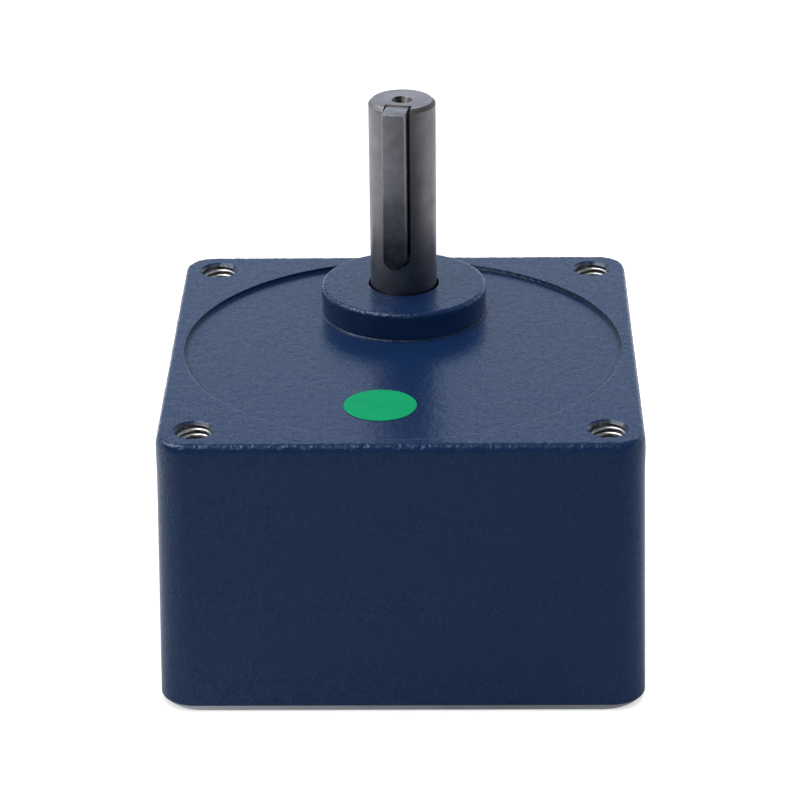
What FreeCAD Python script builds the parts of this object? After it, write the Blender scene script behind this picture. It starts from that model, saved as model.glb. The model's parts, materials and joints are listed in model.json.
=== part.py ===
"""Parallel-shaft gearhead of a 70 mm frame DC gear motor: a painted die-cast case with an offset
keyed output shaft, closed by a bare motor flange, and a three-stage spur gear train inside.

Millimetres. The origin is the centre of the motor face, on the motor's axis. +Z points along the
output shaft, and -Y is the side that the output shaft is furthest from.
"""
import FreeCAD, Part
import Sketcher
import math
import os
from types import SimpleNamespace

Vector = FreeCAD.Vector
UP = Vector(0, 0, 1)
FULL_TURN = 360.0

# Driving sizes: alias, number, meaning
SIZES = (
    ("side_wall", 4.0, "case wall at the middle of a side, at the seam"),
    ("case_draft", 1.2, "draft of the case sides, degrees"),
    ("corner_radius", 5.0, "vertical corners of the case"),
    ("top_edge_radius", 1.0, "rounding round the front face"),
    ("seam_edge_radius", 0.3, "rounding of the case's lower edge"),
    ("front_wall", 4.0, "recess floor to cavity roof"),
    ("recess_rim", 2.7, "half frame to the edge of the front recess"),
    ("recess_depth", 0.6, "round recess in the front face"),
    ("recess_mouth_radius", 0.1, "rounding of the recess at its mouth"),
    ("boss_wall", 1.4, "metal round the front bearing in the boss"),
    ("boss_roof", 1.8, "metal over the front bearing in the boss"),
    ("boss_edge_radius", 0.5, "rounding of the boss rim"),
    ("boss_foot_radius", 0.4, "fillet where the boss stands on the recess floor"),
    ("exit_clearance", 0.33, "gap round the shaft where it leaves the boss"),
    ("hole_edge", 6.0, "corner hole centre to the side of the frame"),
    ("thread_radius", 2.5, "corner holes, nominal M5 thread"),
    ("front_thread_depth", 14.0, "tapped depth from the front face"),
    ("rear_thread_depth", 12.0, "tapped depth from the flange"),
    ("thread_chamfer", 0.45, "chamfer at the mouth of the front holes"),
    ("tap_drill_radius", 2.1, "corner holes between their front and rear threads"),
    ("rim_wall", 2.0, "case wall round the flange pocket"),
    ("pocket_depth", 2.4, "depth of the flange pocket"),
    ("pocket_corner_radius", 6.0, "corners of the flange pocket"),
    ("lip_thickness", 0.8, "flange lip that shows under the case"),
    ("lip_inset", 0.3, "lip set in from the side of the case"),
    ("lip_corner_radius", 6.0, "corners of the flange lip"),
    ("lip_chamfer", 0.12, "lower edge of the flange lip"),
    ("step_clearance", 0.1, "flange step in the case pocket"),
    ("spigot_clearance", 0.1, "flange spigot in the cavity"),
    ("spigot_height", 5.4, "flange spigot above its step"),
    ("register_wall", 3.0, "half frame to the motor register"),
    ("register_depth", 1.8, "motor register in the flange"),
    ("pinion_hole_radius", 5.5, "way in for the motor's pinion"),
    ("motor_hole_radius", 2.75, "flange holes for the motor's M5 screws"),
    ("screw_radius", 1.5, "M3 flange screws"),
    ("screw_head_radius", 2.75, "countersunk head"),
    ("screw_length", 9.0, "whole flange screw"),
    ("screw_hole_spare", 1.0, "hole beyond the end of the screw"),
    ("screw_margin", 0.25, "register edge to a screw head"),
    ("screw_angle", 30.0, "screws from the X axis, degrees"),
    ("screw_slot_width", 0.7, "cross slot of a screw head"),
    ("screw_slot_length", 2.8, "cross slot, end to end"),
    ("screw_slot_depth", 0.8, "cross slot, deep"),
    ("label_radius", 5.25, "round label on the recess floor"),
    ("label_thickness", 0.1, "label paper"),
    ("label_x", -3.0, "label centre"),
    ("label_y", -19.9, "label centre"),
    ("shaft_offset", 15.0, "output axis from the motor axis"),
    ("shaft_turn", -10.0, "output shaft at rest, degrees"),
    ("shaft_radius", 5.0, "output shaft"),
    ("shaft_reach", 29.3, "shaft end above the boss"),
    ("shaft_chamfer", 0.5, "end of the output shaft"),
    ("seat_radius", 6.0, "gear seat of the output shaft"),
    ("collar_radius", 7.0, "collar that the output gear stands against"),
    ("collar_width", 1.7, "collar along the shaft"),
    ("centre_mouth_radius", 1.55, "centre hole at the shaft end"),
    ("centre_drill_radius", 0.8, "pilot of the centre hole"),
    ("centre_depth", 3.0, "centre hole"),
    ("centre_angle", 30.0, "half angle of the centre hole, degrees"),
    ("key_width", 4.0, "both keys, across"),
    ("key_height", 4.0, "both keys, radially"),
    ("key_sink", 2.5, "depth of a keyway in the shaft"),
    ("shaft_key_length", 25.0, "key at the shaft end"),
    ("gear_key_length", 7.0, "key under the output gear"),
    ("gear_key_clearance", 0.2, "gap over the key in the gear"),
    ("ring_thickness", 1.0, "retaining ring"),
    ("ring_play", 0.05, "groove beside the ring"),
    ("ring_groove_depth", 0.5, "retaining ring groove"),
    ("ring_width", 2.0, "retaining ring, radially"),
    ("ring_gap", 3.0, "opening of the retaining ring"),
    ("ring_lug_radius", 1.3, "lugs of the retaining ring"),
    ("ring_eye_radius", 0.6, "plier holes of the retaining ring"),
    ("ring_edge", 1.0, "gear seat beyond the groove"),
    ("front_bearing_width", 6.0, "front bearing"),
    ("front_bearing_outer", 11.0, "front bearing, outer radius"),
    ("front_ring_wall", 1.9, "front bearing rings, radially"),
    ("front_ball_radius", 1.6, "front bearing balls"),
    ("front_ball_count", 9, "front bearing balls"),
    ("front_cage_wall", 1.3, "front cage, radially"),
    ("front_cage_width", 4.4, "front cage, along the shaft"),
    ("rear_journal_radius", 4.0, "rear bearing bore"),
    ("rear_bearing_width", 5.0, "rear bearing"),
    ("rear_bearing_outer", 8.0, "rear bearing, outer radius"),
    ("rear_ring_wall", 1.3, "rear bearing rings, radially"),
    ("rear_ball_radius", 1.0, "rear bearing balls"),
    ("rear_ball_count", 9, "rear bearing balls"),
    ("rear_cage_wall", 0.8, "rear cage, radially"),
    ("rear_cage_width", 2.9, "rear cage, along the shaft"),
    ("race_clearance", 0.04, "ball to race"),
    ("pocket_clearance", 0.08, "ball to cage pocket"),
    ("bearing_relief", 0.5, "room beside a bearing's inner ring"),
    ("ring_chamfer", 0.3, "edges of the bearing rings"),
    ("journal_radius", 2.5, "journals of the inner shafts"),
    ("journal_clearance", 0.03, "journal in its bush"),
    ("journal_inset", 0.3, "journal end inside its bush"),
    ("journal_chamfer", 0.3, "journal ends"),
    ("core_radius", 3.0, "inner shafts between the journals"),
    ("bush_outer", 4.5, "bush, outer radius"),
    ("bush_length", 5.0, "bush, along the shaft"),
    ("bush_wall", 2.5, "case metal round a bush"),
    ("bush_boss_height", 3.0, "bush bosses under the cavity roof"),
    ("washer_outer", 4.2, "thrust washers, outer radius"),
    ("washer_thickness", 0.4, "thrust washers"),
    ("end_play", 0.1, "inner shafts between their washers"),
    ("pressure_angle", 20.0, "all teeth, degrees"),
    ("addendum", 1.0, "tooth above the pitch circle, in modules"),
    ("dedendum", 1.25, "tooth below the pitch circle, in modules"),
    ("tooth_thinning", 0.05, "taken off each tooth for backlash"),
    ("first_module", 0.5, "motor pinion and first gear"),
    ("second_module", 0.6, "first pinion and second gear"),
    ("third_module", 0.8, "second pinion and output gear"),
    ("motor_pinion_teeth", 10, "the motor's own pinion, not part of the gearhead"),
    ("first_gear_teeth", 50, "first gear"),
    ("first_pinion_teeth", 15, "first pinion"),
    ("second_gear_teeth", 45, "second gear"),
    ("second_pinion_teeth", 15, "second pinion"),
    ("output_gear_teeth", 36, "output gear"),
    ("first_shaft_angle", 245.6, "first shaft round the motor axis, degrees"),
    ("gear_clearance", 0.8, "gear tips to the cavity wall"),
    ("gear_gap", 0.5, "first gear above its shaft shoulder"),
    ("first_gear_width", 5.5, "first gear"),
    ("first_pinion_width", 9.0, "first pinion"),
    ("layer_gap", 1.0, "second gear above the first"),
    ("second_gear_width", 6.5, "second gear"),
    ("ring_space", 2.7, "second gear to output gear"),
    ("output_gear_width", 8.0, "output gear"),
    ("gear_headroom", 1.1, "output gear to the bush bosses"),
    ("pinion_inset", 0.3, "second pinion below its shaft shoulder"),
    ("rim_thickness", 2.0, "gear rim inside the tooth roots"),
    ("hub_wall", 2.5, "gear hub round its bore"),
    ("web_recess", 1.4, "web set in from each gear face"),
)

doc = FreeCAD.newDocument("gearhead")
sheet = doc.addObject("Spreadsheet::Sheet", "Sizes")


class Size:
    """A dimension: its number, and the sheet formula that keeps objects bound to it."""

    def __init__(self, number, formula):
        self.number = number
        self.formula = formula

    def __float__(self):
        return float(self.number)

    def __add__(self, other):
        return joined(self, "+", other, float(self) + float(other))

    def __sub__(self, other):
        return joined(self, "-", other, float(self) - float(other))

    def __mul__(self, other):
        return joined(self, "*", other, float(self) * float(other))

    def __truediv__(self, other):
        return joined(self, "/", other, float(self) / float(other))

    def __neg__(self):
        return Size(-float(self), f"(-1 * {self.formula})")


def formula(value):
    return value.formula if isinstance(value, Size) else repr(float(value))


def joined(left, sign, right, number):
    return Size(number, f"({formula(left)} {sign} {formula(right)})")


def cosine(degrees):
    return Size(math.cos(math.radians(float(degrees))), f"cos({formula(degrees)} * 1 deg)")


def sine(degrees):
    return Size(math.sin(math.radians(float(degrees))), f"sin({formula(degrees)} * 1 deg)")


def tangent(degrees):
    return Size(math.tan(math.radians(float(degrees))), f"tan({formula(degrees)} * 1 deg)")


def root(square):
    return Size(math.sqrt(float(square)), f"sqrt({formula(square)})")


def largest(*values):
    texts = "; ".join(formula(value) for value in values)
    return Size(max(float(value) for value in values), f"max({texts})")


def fill_sheet():
    for row, (alias, number, meaning) in enumerate(SIZES, 1):
        sheet.set(f"A{row}", meaning)
        sheet.set(f"B{row}", str(number))
        sheet.setAlias(f"B{row}", alias)
    doc.recompute()
    return SimpleNamespace(**{alias: Size(number, f"Sizes.{alias}") for alias, number, _ in SIZES})


s = fill_sheet()


# Gear train: centre distances, tip radii and the places of the three axes

def centre_distance(module, teeth, mate_teeth):
    return module * (teeth + mate_teeth) / 2


def tip_radius(module, teeth):
    return module * (teeth / 2 + s.addendum)


def root_radius(module, teeth):
    return module * (teeth / 2 - s.dedendum)


def reach(axis, radius):
    """How far from the motor axis a wheel of this radius reaches."""
    x, y = axis
    return root(x * x + y * y) + radius


motor_distance = centre_distance(s.first_module, s.motor_pinion_teeth, s.first_gear_teeth)
middle_distance = centre_distance(s.second_module, s.first_pinion_teeth, s.second_gear_teeth)
output_distance = centre_distance(s.third_module, s.second_pinion_teeth, s.output_gear_teeth)

MOTOR_AXIS = (Size(0.0, "0"), Size(0.0, "0"))
OUTPUT_AXIS = (Size(0.0, "0"), s.shaft_offset)
FIRST_AXIS = (motor_distance * cosine(s.first_shaft_angle), motor_distance * sine(s.first_shaft_angle))


def second_axis():
    """The point at its two mesh distances from the first and the output axes, on the -X side."""
    along_x = OUTPUT_AXIS[0] - FIRST_AXIS[0]
    along_y = OUTPUT_AXIS[1] - FIRST_AXIS[1]
    apart = root(along_x * along_x + along_y * along_y)
    foot = (middle_distance * middle_distance - output_distance * output_distance + apart * apart) / (apart * 2)
    height = root(middle_distance * middle_distance - foot * foot)
    x = FIRST_AXIS[0] + (along_x * foot - along_y * height) / apart
    y = FIRST_AXIS[1] + (along_y * foot + along_x * height) / apart
    return x, y


SECOND_AXIS = second_axis()
INNER_AXES = (("first", FIRST_AXIS), ("second", SECOND_AXIS))

cavity_radius = largest(
    reach(FIRST_AXIS, tip_radius(s.first_module, s.first_gear_teeth)),
    reach(SECOND_AXIS, tip_radius(s.second_module, s.second_gear_teeth)),
    reach(OUTPUT_AXIS, tip_radius(s.third_module, s.output_gear_teeth)),
) + s.gear_clearance

# Widths that follow from the gear train
half_frame = cavity_radius + s.side_wall
half_lip = half_frame - s.lip_inset
half_pocket = half_frame - s.rim_wall
half_step = half_pocket - s.step_clearance
hole_at = half_frame - s.hole_edge
register_radius = half_frame - s.register_wall
recess_radius = half_frame - s.recess_rim
recess_foot_radius = s.recess_depth * 0.75
spigot_radius = cavity_radius - s.spigot_clearance
boss_radius = s.front_bearing_outer + s.boss_wall
screw_circle = register_radius + s.screw_head_radius + s.screw_margin
screw_x = screw_circle * cosine(s.screw_angle)
screw_y = screw_circle * sine(s.screw_angle)

# Heights, stacked from the motor face up to the shaft end
pocket_floor = s.lip_thickness + s.pocket_depth
spigot_top = pocket_floor + s.spigot_height
rear_seat = spigot_top - s.rear_bearing_width
rear_bush_floor = spigot_top - s.bush_length
rear_thrust = spigot_top + s.washer_thickness + s.end_play
first_gear_low = rear_thrust + s.gear_gap
first_gear_high = first_gear_low + s.first_gear_width
second_gear_low = first_gear_high + s.layer_gap
second_gear_high = second_gear_low + s.second_gear_width
output_gear_low = second_gear_high + s.ring_space
output_gear_high = output_gear_low + s.output_gear_width
boss_bottom = output_gear_high + s.gear_headroom
front_thrust = boss_bottom - s.washer_thickness - s.end_play
front_bush_roof = boss_bottom + s.bush_length
cavity_roof = boss_bottom + s.bush_boss_height
recess_floor = cavity_roof + s.front_wall
case_top = recess_floor + s.recess_depth
case_height = case_top - s.lip_thickness
front_seat_top = cavity_roof + s.front_bearing_width
boss_top = front_seat_top + s.bearing_relief + s.boss_roof
shaft_end = boss_top + s.shaft_reach


# Sketches and features

def new_sketch(body, name, role="XY_Plane", offset=0.0):
    """A sketch on one of the body's own origin planes, moved along the plane's normal."""
    sketch = body.newObject("Sketcher::SketchObject", name)
    plane = next(item for item in body.Origin.OriginFeatures if item.Role == role)
    sketch.AttachmentSupport = (plane, [""])
    sketch.MapMode = "FlatFace"
    sketch.AttachmentOffset = FreeCAD.Placement(Vector(0, 0, float(offset)), FreeCAD.Rotation())
    sketch.setExpression("AttachmentOffset.Base.z", formula(offset))
    return sketch


def hold(sketch, kind, geometry, vertex, value):
    """Holds one coordinate of a point of a sketch."""
    if abs(float(value)) < 1e-9:
        axis = -2 if kind == "DistanceX" else -1
        sketch.addConstraint(Sketcher.Constraint("PointOnObject", geometry, vertex, axis))
    else:
        index = sketch.addConstraint(Sketcher.Constraint(kind, -1, 1, geometry, vertex, float(value)))
        sketch.setExpression(f"Constraints[{index}]", formula(value))


def pin(sketch, geometry, vertex, x, y):
    hold(sketch, "DistanceX", geometry, vertex, x)
    hold(sketch, "DistanceY", geometry, vertex, y)


def set_radius(sketch, geometry, radius):
    index = sketch.addConstraint(Sketcher.Constraint("Radius", geometry, float(radius)))
    sketch.setExpression(f"Constraints[{index}]", formula(radius))


def join_ends(sketch, geometry, following):
    sketch.addConstraint(Sketcher.Constraint("Coincident", geometry, 2, following, 1))


def draw_circle(sketch, x, y, radius):
    centre = Vector(float(x), float(y), 0)
    circle = sketch.addGeometry(Part.Circle(centre, UP, float(radius)))
    pin(sketch, circle, 3, x, y)
    set_radius(sketch, circle, radius)


def draw_outline(sketch, corners):
    """A closed outline of straight lines, each corner held by its coordinates."""
    points = [Vector(float(x), float(y), 0) for x, y in corners]
    lines = []
    for start, end in zip(points, points[1:] + points[:1]):
        lines.append(sketch.addGeometry(Part.LineSegment(start, end)))
    for line, following in zip(lines, lines[1:] + lines[:1]):
        join_ends(sketch, line, following)
    for line, (x, y) in zip(lines, corners):
        pin(sketch, line, 1, x, y)


def draw_rounded_square(sketch, half, radius):
    """A square about the origin, with an arc at each corner."""
    flat = half - radius
    runs = (
        ((-flat, -half), (flat, -half)),
        ((half, -flat), (half, flat)),
        ((flat, half), (-flat, half)),
        ((-half, flat), (-half, -flat)),
    )
    arc_centres = ((flat, -flat), (flat, flat), (-flat, flat), (-flat, -flat))
    edges = []
    for quarter, ((start, end), centre) in enumerate(zip(runs, arc_centres)):
        line = sketch.addGeometry(Part.LineSegment(
            Vector(float(start[0]), float(start[1]), 0), Vector(float(end[0]), float(end[1]), 0)))
        pin(sketch, line, 1, *start)
        pin(sketch, line, 2, *end)
        circle = Part.Circle(Vector(float(centre[0]), float(centre[1]), 0), UP, float(radius))
        begin = (quarter - 1) * math.pi / 2
        arc = sketch.addGeometry(Part.ArcOfCircle(circle, begin, begin + math.pi / 2))
        edges += [line, arc]
    for edge, following in zip(edges, edges[1:] + edges[:1]):
        join_ends(sketch, edge, following)
    for arc in edges[1::2]:
        set_radius(sketch, arc, radius)


def draw_slot(sketch, half_width, low, high, round_top):
    """A bar standing on a round end, with its top round or square."""
    low_centre = low + half_width
    high_centre = high - half_width if round_top else high
    left_foot = Vector(-float(half_width), float(low_centre), 0)
    left_top = Vector(-float(half_width), float(high_centre), 0)
    right_top = Vector(float(half_width), float(high_centre), 0)
    right_foot = Vector(float(half_width), float(low_centre), 0)
    right = sketch.addGeometry(Part.LineSegment(right_foot, right_top))
    if round_top:
        crown = Part.Circle(Vector(0, float(high_centre), 0), UP, float(half_width))
        top = sketch.addGeometry(Part.ArcOfCircle(crown, 0, math.pi))
    else:
        top = sketch.addGeometry(Part.LineSegment(right_top, left_top))
    left = sketch.addGeometry(Part.LineSegment(left_top, left_foot))
    foot = Part.Circle(Vector(0, float(low_centre), 0), UP, float(half_width))
    bottom = sketch.addGeometry(Part.ArcOfCircle(foot, math.pi, 2 * math.pi))
    edges = (right, top, left, bottom)
    for edge, following in zip(edges, edges[1:] + edges[:1]):
        join_ends(sketch, edge, following)
    pin(sketch, left, 1, -half_width, high_centre)
    pin(sketch, left, 2, -half_width, low_centre)
    pin(sketch, bottom, 3, 0.0, low_centre)
    hold(sketch, "DistanceY", right, 1, low_centre)
    if round_top:
        pin(sketch, top, 3, 0.0, high_centre)
        hold(sketch, "DistanceY", right, 2, high_centre)
    else:
        pin(sketch, right, 2, half_width, high_centre)


def add_feature(body, kind, name, sketch, length, **settings):
    """A pad or a pocket of a sketch; a pocket has to take metal away, and a pad has to add it."""
    doc.recompute()
    before = body.Shape.Volume if body.Tip and not body.Shape.isNull() else 0.0
    feature = body.newObject(f"PartDesign::{kind}", name)
    feature.Profile = sketch
    feature.setExpression("Length", formula(length))
    for setting, value in settings.items():
        setattr(feature, setting, value)
    doc.recompute()
    grown = feature.Shape.Volume - before
    if grown * (1 if kind == "Pad" else -1) <= 0:
        raise RuntimeError(f"{name} changes nothing")
    return feature


def pad_circle(body, name, axis, radius, low, high):
    sketch = new_sketch(body, f"{name}_sketch", "XY_Plane", low)
    draw_circle(sketch, *axis, radius)
    return add_feature(body, "Pad", name, sketch, high - low)


def pocket_circles(body, name, axes, radius, low, high):
    """Round pockets from one height down to another, one at each axis."""
    sketch = new_sketch(body, f"{name}_sketch", "XY_Plane", high)
    for axis in axes:
        draw_circle(sketch, *axis, radius)
    return add_feature(body, "Pocket", name, sketch, high - low)


def dress_edges(body, kind, name, wanted, size):
    """Fillets or chamfers the edges of the body that a test picks out."""
    doc.recompute()
    base = body.Tip
    picked = [f"Edge{number}" for number, edge in enumerate(base.Shape.Edges, 1) if wanted(edge)]
    if not picked:
        raise RuntimeError(f"{name} finds no edge")
    feature = body.newObject(f"PartDesign::{kind}", name)
    feature.Base = (base, picked)
    feature.setExpression("Radius" if kind == "Fillet" else "Size", formula(size))
    doc.recompute()
    return feature


def at_height(height):
    """Test for edges that lie at one height."""
    def test(edge):
        return abs(edge.CenterOfMass.z - float(height)) < 1e-4
    return test


def is_circle(radius, height):
    """Test for whole circular edges of one radius at one height."""
    def test(edge):
        round_edge = isinstance(edge.Curve, Part.Circle) and edge.Closed
        return (round_edge and abs(edge.Curve.Radius - float(radius)) < 1e-4
                and abs(edge.Curve.Center.z - float(height)) < 1e-4)
    return test


def new_body(label):
    body = doc.addObject("PartDesign::Body", label)
    body.Label = label
    return body


def turned(label, corners):
    """A piece turned about its own Z axis, from the (radius, height) corners of its half section."""
    body = new_body(label)
    sketch = new_sketch(body, f"{label}_section", "XZ_Plane")
    draw_outline(sketch, corners)
    turning = body.newObject("PartDesign::Revolution", f"{label}_turning")
    turning.Profile = sketch
    turning.ReferenceAxis = (sketch, ["V_Axis"])
    turning.Angle = FULL_TURN
    doc.recompute()
    return body


def place(piece, axis, turn=0.0):
    """Puts a piece on an axis of the gearhead, turned about that axis."""
    piece.Placement = FreeCAD.Placement(
        Vector(float(axis[0]), float(axis[1]), 0), FreeCAD.Rotation(UP, float(turn)))
    piece.setExpression("Placement.Base.x", formula(axis[0]))
    piece.setExpression("Placement.Base.y", formula(axis[1]))
    return piece


def cylinder(name, radius, low, high, axis=MOTOR_AXIS):
    solid = doc.addObject("Part::Cylinder", name)
    solid.setExpression("Radius", formula(radius))
    solid.setExpression("Height", formula(high - low))
    solid.Placement = FreeCAD.Placement(
        Vector(float(axis[0]), float(axis[1]), float(low)), FreeCAD.Rotation())
    for letter, value in zip("xyz", (*axis, low)):
        solid.setExpression(f"Placement.Base.{letter}", formula(value))
    return solid


def block(name, length, width, low, high, corner_x, corner_y):
    solid = doc.addObject("Part::Box", name)
    solid.setExpression("Length", formula(length))
    solid.setExpression("Width", formula(width))
    solid.setExpression("Height", formula(high - low))
    for letter, value in zip("xyz", (corner_x, corner_y, low)):
        solid.setExpression(f"Placement.Base.{letter}", formula(value))
    return solid


def fuse(name, *solids):
    whole = doc.addObject("Part::MultiFuse", name)
    whole.Shapes = list(solids)
    whole.Refine = True
    return whole


def cut(name, base, *tools):
    result = doc.addObject("Part::Cut", name)
    result.Base = base
    result.Tool = tools[0] if len(tools) == 1 else fuse(f"{name}_tools", *tools)
    result.Label = name
    return result


def group(label, original, places):
    """Like pieces that share a node: one linked copy of the original at each place."""
    copies = []
    for number, (x, y, z) in enumerate(places, 1):
        copy = doc.addObject("App::Link", f"{label}_{number}")
        copy.LinkedObject = original
        copy.LinkTransform = True
        copy.Placement = FreeCAD.Placement(Vector(float(x), float(y), float(z)), FreeCAD.Rotation())
        for letter, value in zip("xyz", (x, y, z)):
            copy.setExpression(f"Placement.Base.{letter}", formula(value))
        copies.append(copy)
    compound = doc.addObject("Part::Compound", label)
    compound.Label = label
    compound.Links = copies
    return compound


# Gears

def gear_outline(name, module, teeth, phase):
    """Outline of a spur gear with a tooth centred on the phase angle; each flank is the arc through
    three points of its involute, and runs straight down to the root below the base circle."""
    count = int(float(teeth))
    pitch = float(module) * count / 2
    pressure = math.radians(float(s.pressure_angle))
    base = pitch * math.cos(pressure)
    tip = float(tip_radius(module, teeth))
    foot = float(root_radius(module, teeth))
    flank_foot = max(base, foot)
    half_tooth = math.pi / (2 * count) - float(s.tooth_thinning) / (2 * pitch)

    def half_angle(radius):
        turn = math.acos(min(1.0, base / radius))
        return half_tooth + (math.tan(pressure) - pressure) - (math.tan(turn) - turn)

    def point(radius, angle):
        return Vector(radius * math.cos(angle), radius * math.sin(angle), 0)

    edges = []
    radii = (flank_foot, (flank_foot + tip) / 2, tip)
    tooth_step = 2 * math.pi / count
    foot_angle = half_angle(flank_foot)
    for number in range(count):
        middle = math.radians(phase) + number * tooth_step
        rising = [point(radius, middle - half_angle(radius)) for radius in radii]
        falling = [point(radius, middle + half_angle(radius)) for radius in reversed(radii)]
        next_foot = middle + tooth_step - foot_angle
        edges.append(Part.Arc(*rising))
        edges.append(Part.Arc(rising[-1], point(tip, middle), falling[0]))
        edges.append(Part.Arc(*falling))
        if foot < base:
            edges.append(Part.LineSegment(falling[-1], point(foot, middle + foot_angle)))
        edges.append(Part.Arc(point(foot, middle + foot_angle), point(foot, middle + tooth_step / 2),
                              point(foot, next_foot)))
        if foot < base:
            edges.append(Part.LineSegment(point(foot, next_foot), point(flank_foot, next_foot)))
    outline = doc.addObject("Part::Feature", name)
    outline.Shape = Part.Face(Part.Wire([edge.toShape() for edge in edges]))
    return outline


def toothed_bar(name, module, teeth, low, high, phase):
    """A solid gear without a bore, between two heights on its own axis."""
    outline = gear_outline(f"{name}_outline", module, teeth, phase)
    bar = doc.addObject("Part::Extrusion", name)
    bar.Base = outline
    bar.DirMode = "Custom"
    bar.Dir = UP
    bar.Solid = True
    bar.setExpression("LengthFwd", formula(high - low))
    bar.setExpression("Placement.Base.z", formula(low))
    return bar


def wheel_tools(name, module, teeth, bore, low, high):
    """What is turned out of a gear blank: its bore, and a web recess in each face."""
    rim = root_radius(module, teeth) - s.rim_thickness
    tools = [cylinder(f"{name}_bore", bore, low, high)]
    for face, (bottom, top) in (("rear", (low, low + s.web_recess)), ("front", (high - s.web_recess, high))):
        hub = cylinder(f"{name}_{face}_hub", bore + s.hub_wall, bottom, top)
        dish = cylinder(f"{name}_{face}_dish", rim, bottom, top)
        tools.append(cut(f"{name}_{face}_recess", dish, hub))
    return tools


def mesh_phase(phase, teeth, mate_teeth, axis, mate_axis):
    """Tooth angle of a gear that is in mesh with another one, both in degrees."""
    across = math.degrees(math.atan2(float(mate_axis[1]) - float(axis[1]), float(mate_axis[0]) - float(axis[0])))
    turns = (across - phase) * float(teeth) / FULL_TURN
    return across + FULL_TURN / 2 - (FULL_TURN / float(mate_teeth)) * (0.5 - turns)


output_phase = float(s.shaft_turn) - 90.0
second_phase = mesh_phase(output_phase, s.output_gear_teeth, s.second_pinion_teeth, OUTPUT_AXIS, SECOND_AXIS)
first_phase = mesh_phase(second_phase, s.second_gear_teeth, s.first_pinion_teeth, SECOND_AXIS, FIRST_AXIS)


# Case, flange and what is fixed to them

corner_holes = [(hole_at, hole_at), (-hole_at, hole_at), (-hole_at, -hole_at), (hole_at, -hole_at)]
screw_places = [(screw_x, screw_y), (-screw_x, screw_y), (-screw_x, -screw_y), (screw_x, -screw_y)]


def make_gear_case():
    """Die-cast case: tapered block, recessed front, shaft boss, and everything bored out of it."""
    case = new_body("gear_case")
    outline = new_sketch(case, "case_outline", "XY_Plane", s.lip_thickness)
    draw_rounded_square(outline, half_frame, s.corner_radius)
    casting = add_feature(case, "Pad", "casting", outline, case_height)
    casting.setExpression("TaperAngle", formula(-s.case_draft))
    dress_edges(case, "Fillet", "seam_edge", at_height(s.lip_thickness), s.seam_edge_radius)
    dress_edges(case, "Fillet", "front_edge", at_height(case_top), s.top_edge_radius)
    pocket_circles(case, "front_recess", [MOTOR_AXIS], recess_radius, recess_floor, case_top)
    dress_edges(case, "Fillet", "recess_mouth", is_circle(recess_radius, case_top), s.recess_mouth_radius)
    dress_edges(case, "Fillet", "recess_foot", is_circle(recess_radius, recess_floor), recess_foot_radius)
    pad_circle(case, "shaft_boss", OUTPUT_AXIS, boss_radius, recess_floor, boss_top)
    dress_edges(case, "Fillet", "boss_rim", is_circle(boss_radius, boss_top), s.boss_edge_radius)
    dress_edges(case, "Fillet", "boss_foot", is_circle(boss_radius, recess_floor), s.boss_foot_radius)

    pocket = new_sketch(case, "flange_pocket_sketch", "XY_Plane", pocket_floor)
    draw_rounded_square(pocket, half_pocket, s.pocket_corner_radius)
    add_feature(case, "Pocket", "flange_pocket", pocket, s.pocket_depth)
    pocket_circles(case, "cavity", [MOTOR_AXIS], cavity_radius, pocket_floor, cavity_roof)
    for name, axis in INNER_AXES:
        pad_circle(case, f"{name}_bush_boss", axis, s.bush_outer + s.bush_wall, boss_bottom, cavity_roof)
    inner_axes = [axis for _, axis in INNER_AXES]
    pocket_circles(case, "bush_seats", inner_axes, s.bush_outer, boss_bottom, front_bush_roof)
    pocket_circles(case, "bearing_seat", [OUTPUT_AXIS], s.front_bearing_outer, cavity_roof, front_seat_top)
    pocket_circles(case, "bearing_room", [OUTPUT_AXIS], s.front_bearing_outer - s.front_ring_wall,
                   front_seat_top, front_seat_top + s.bearing_relief)
    pocket_circles(case, "shaft_exit", [OUTPUT_AXIS], s.shaft_radius + s.exit_clearance,
                   front_seat_top, boss_top)
    pocket_circles(case, "tap_drill", corner_holes, s.tap_drill_radius, pocket_floor, case_top)
    pocket_circles(case, "front_threads", corner_holes, s.thread_radius,
                   case_top - s.front_thread_depth, case_top)
    dress_edges(case, "Chamfer", "thread_mouths", is_circle(s.thread_radius, case_top), s.thread_chamfer)
    pocket_circles(case, "rear_threads", corner_holes, s.thread_radius,
                   pocket_floor, pocket_floor + s.rear_thread_depth)
    pocket_circles(case, "screw_threads", screw_places, s.screw_radius,
                   pocket_floor, s.screw_length + s.screw_hole_spare)
    return case


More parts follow.
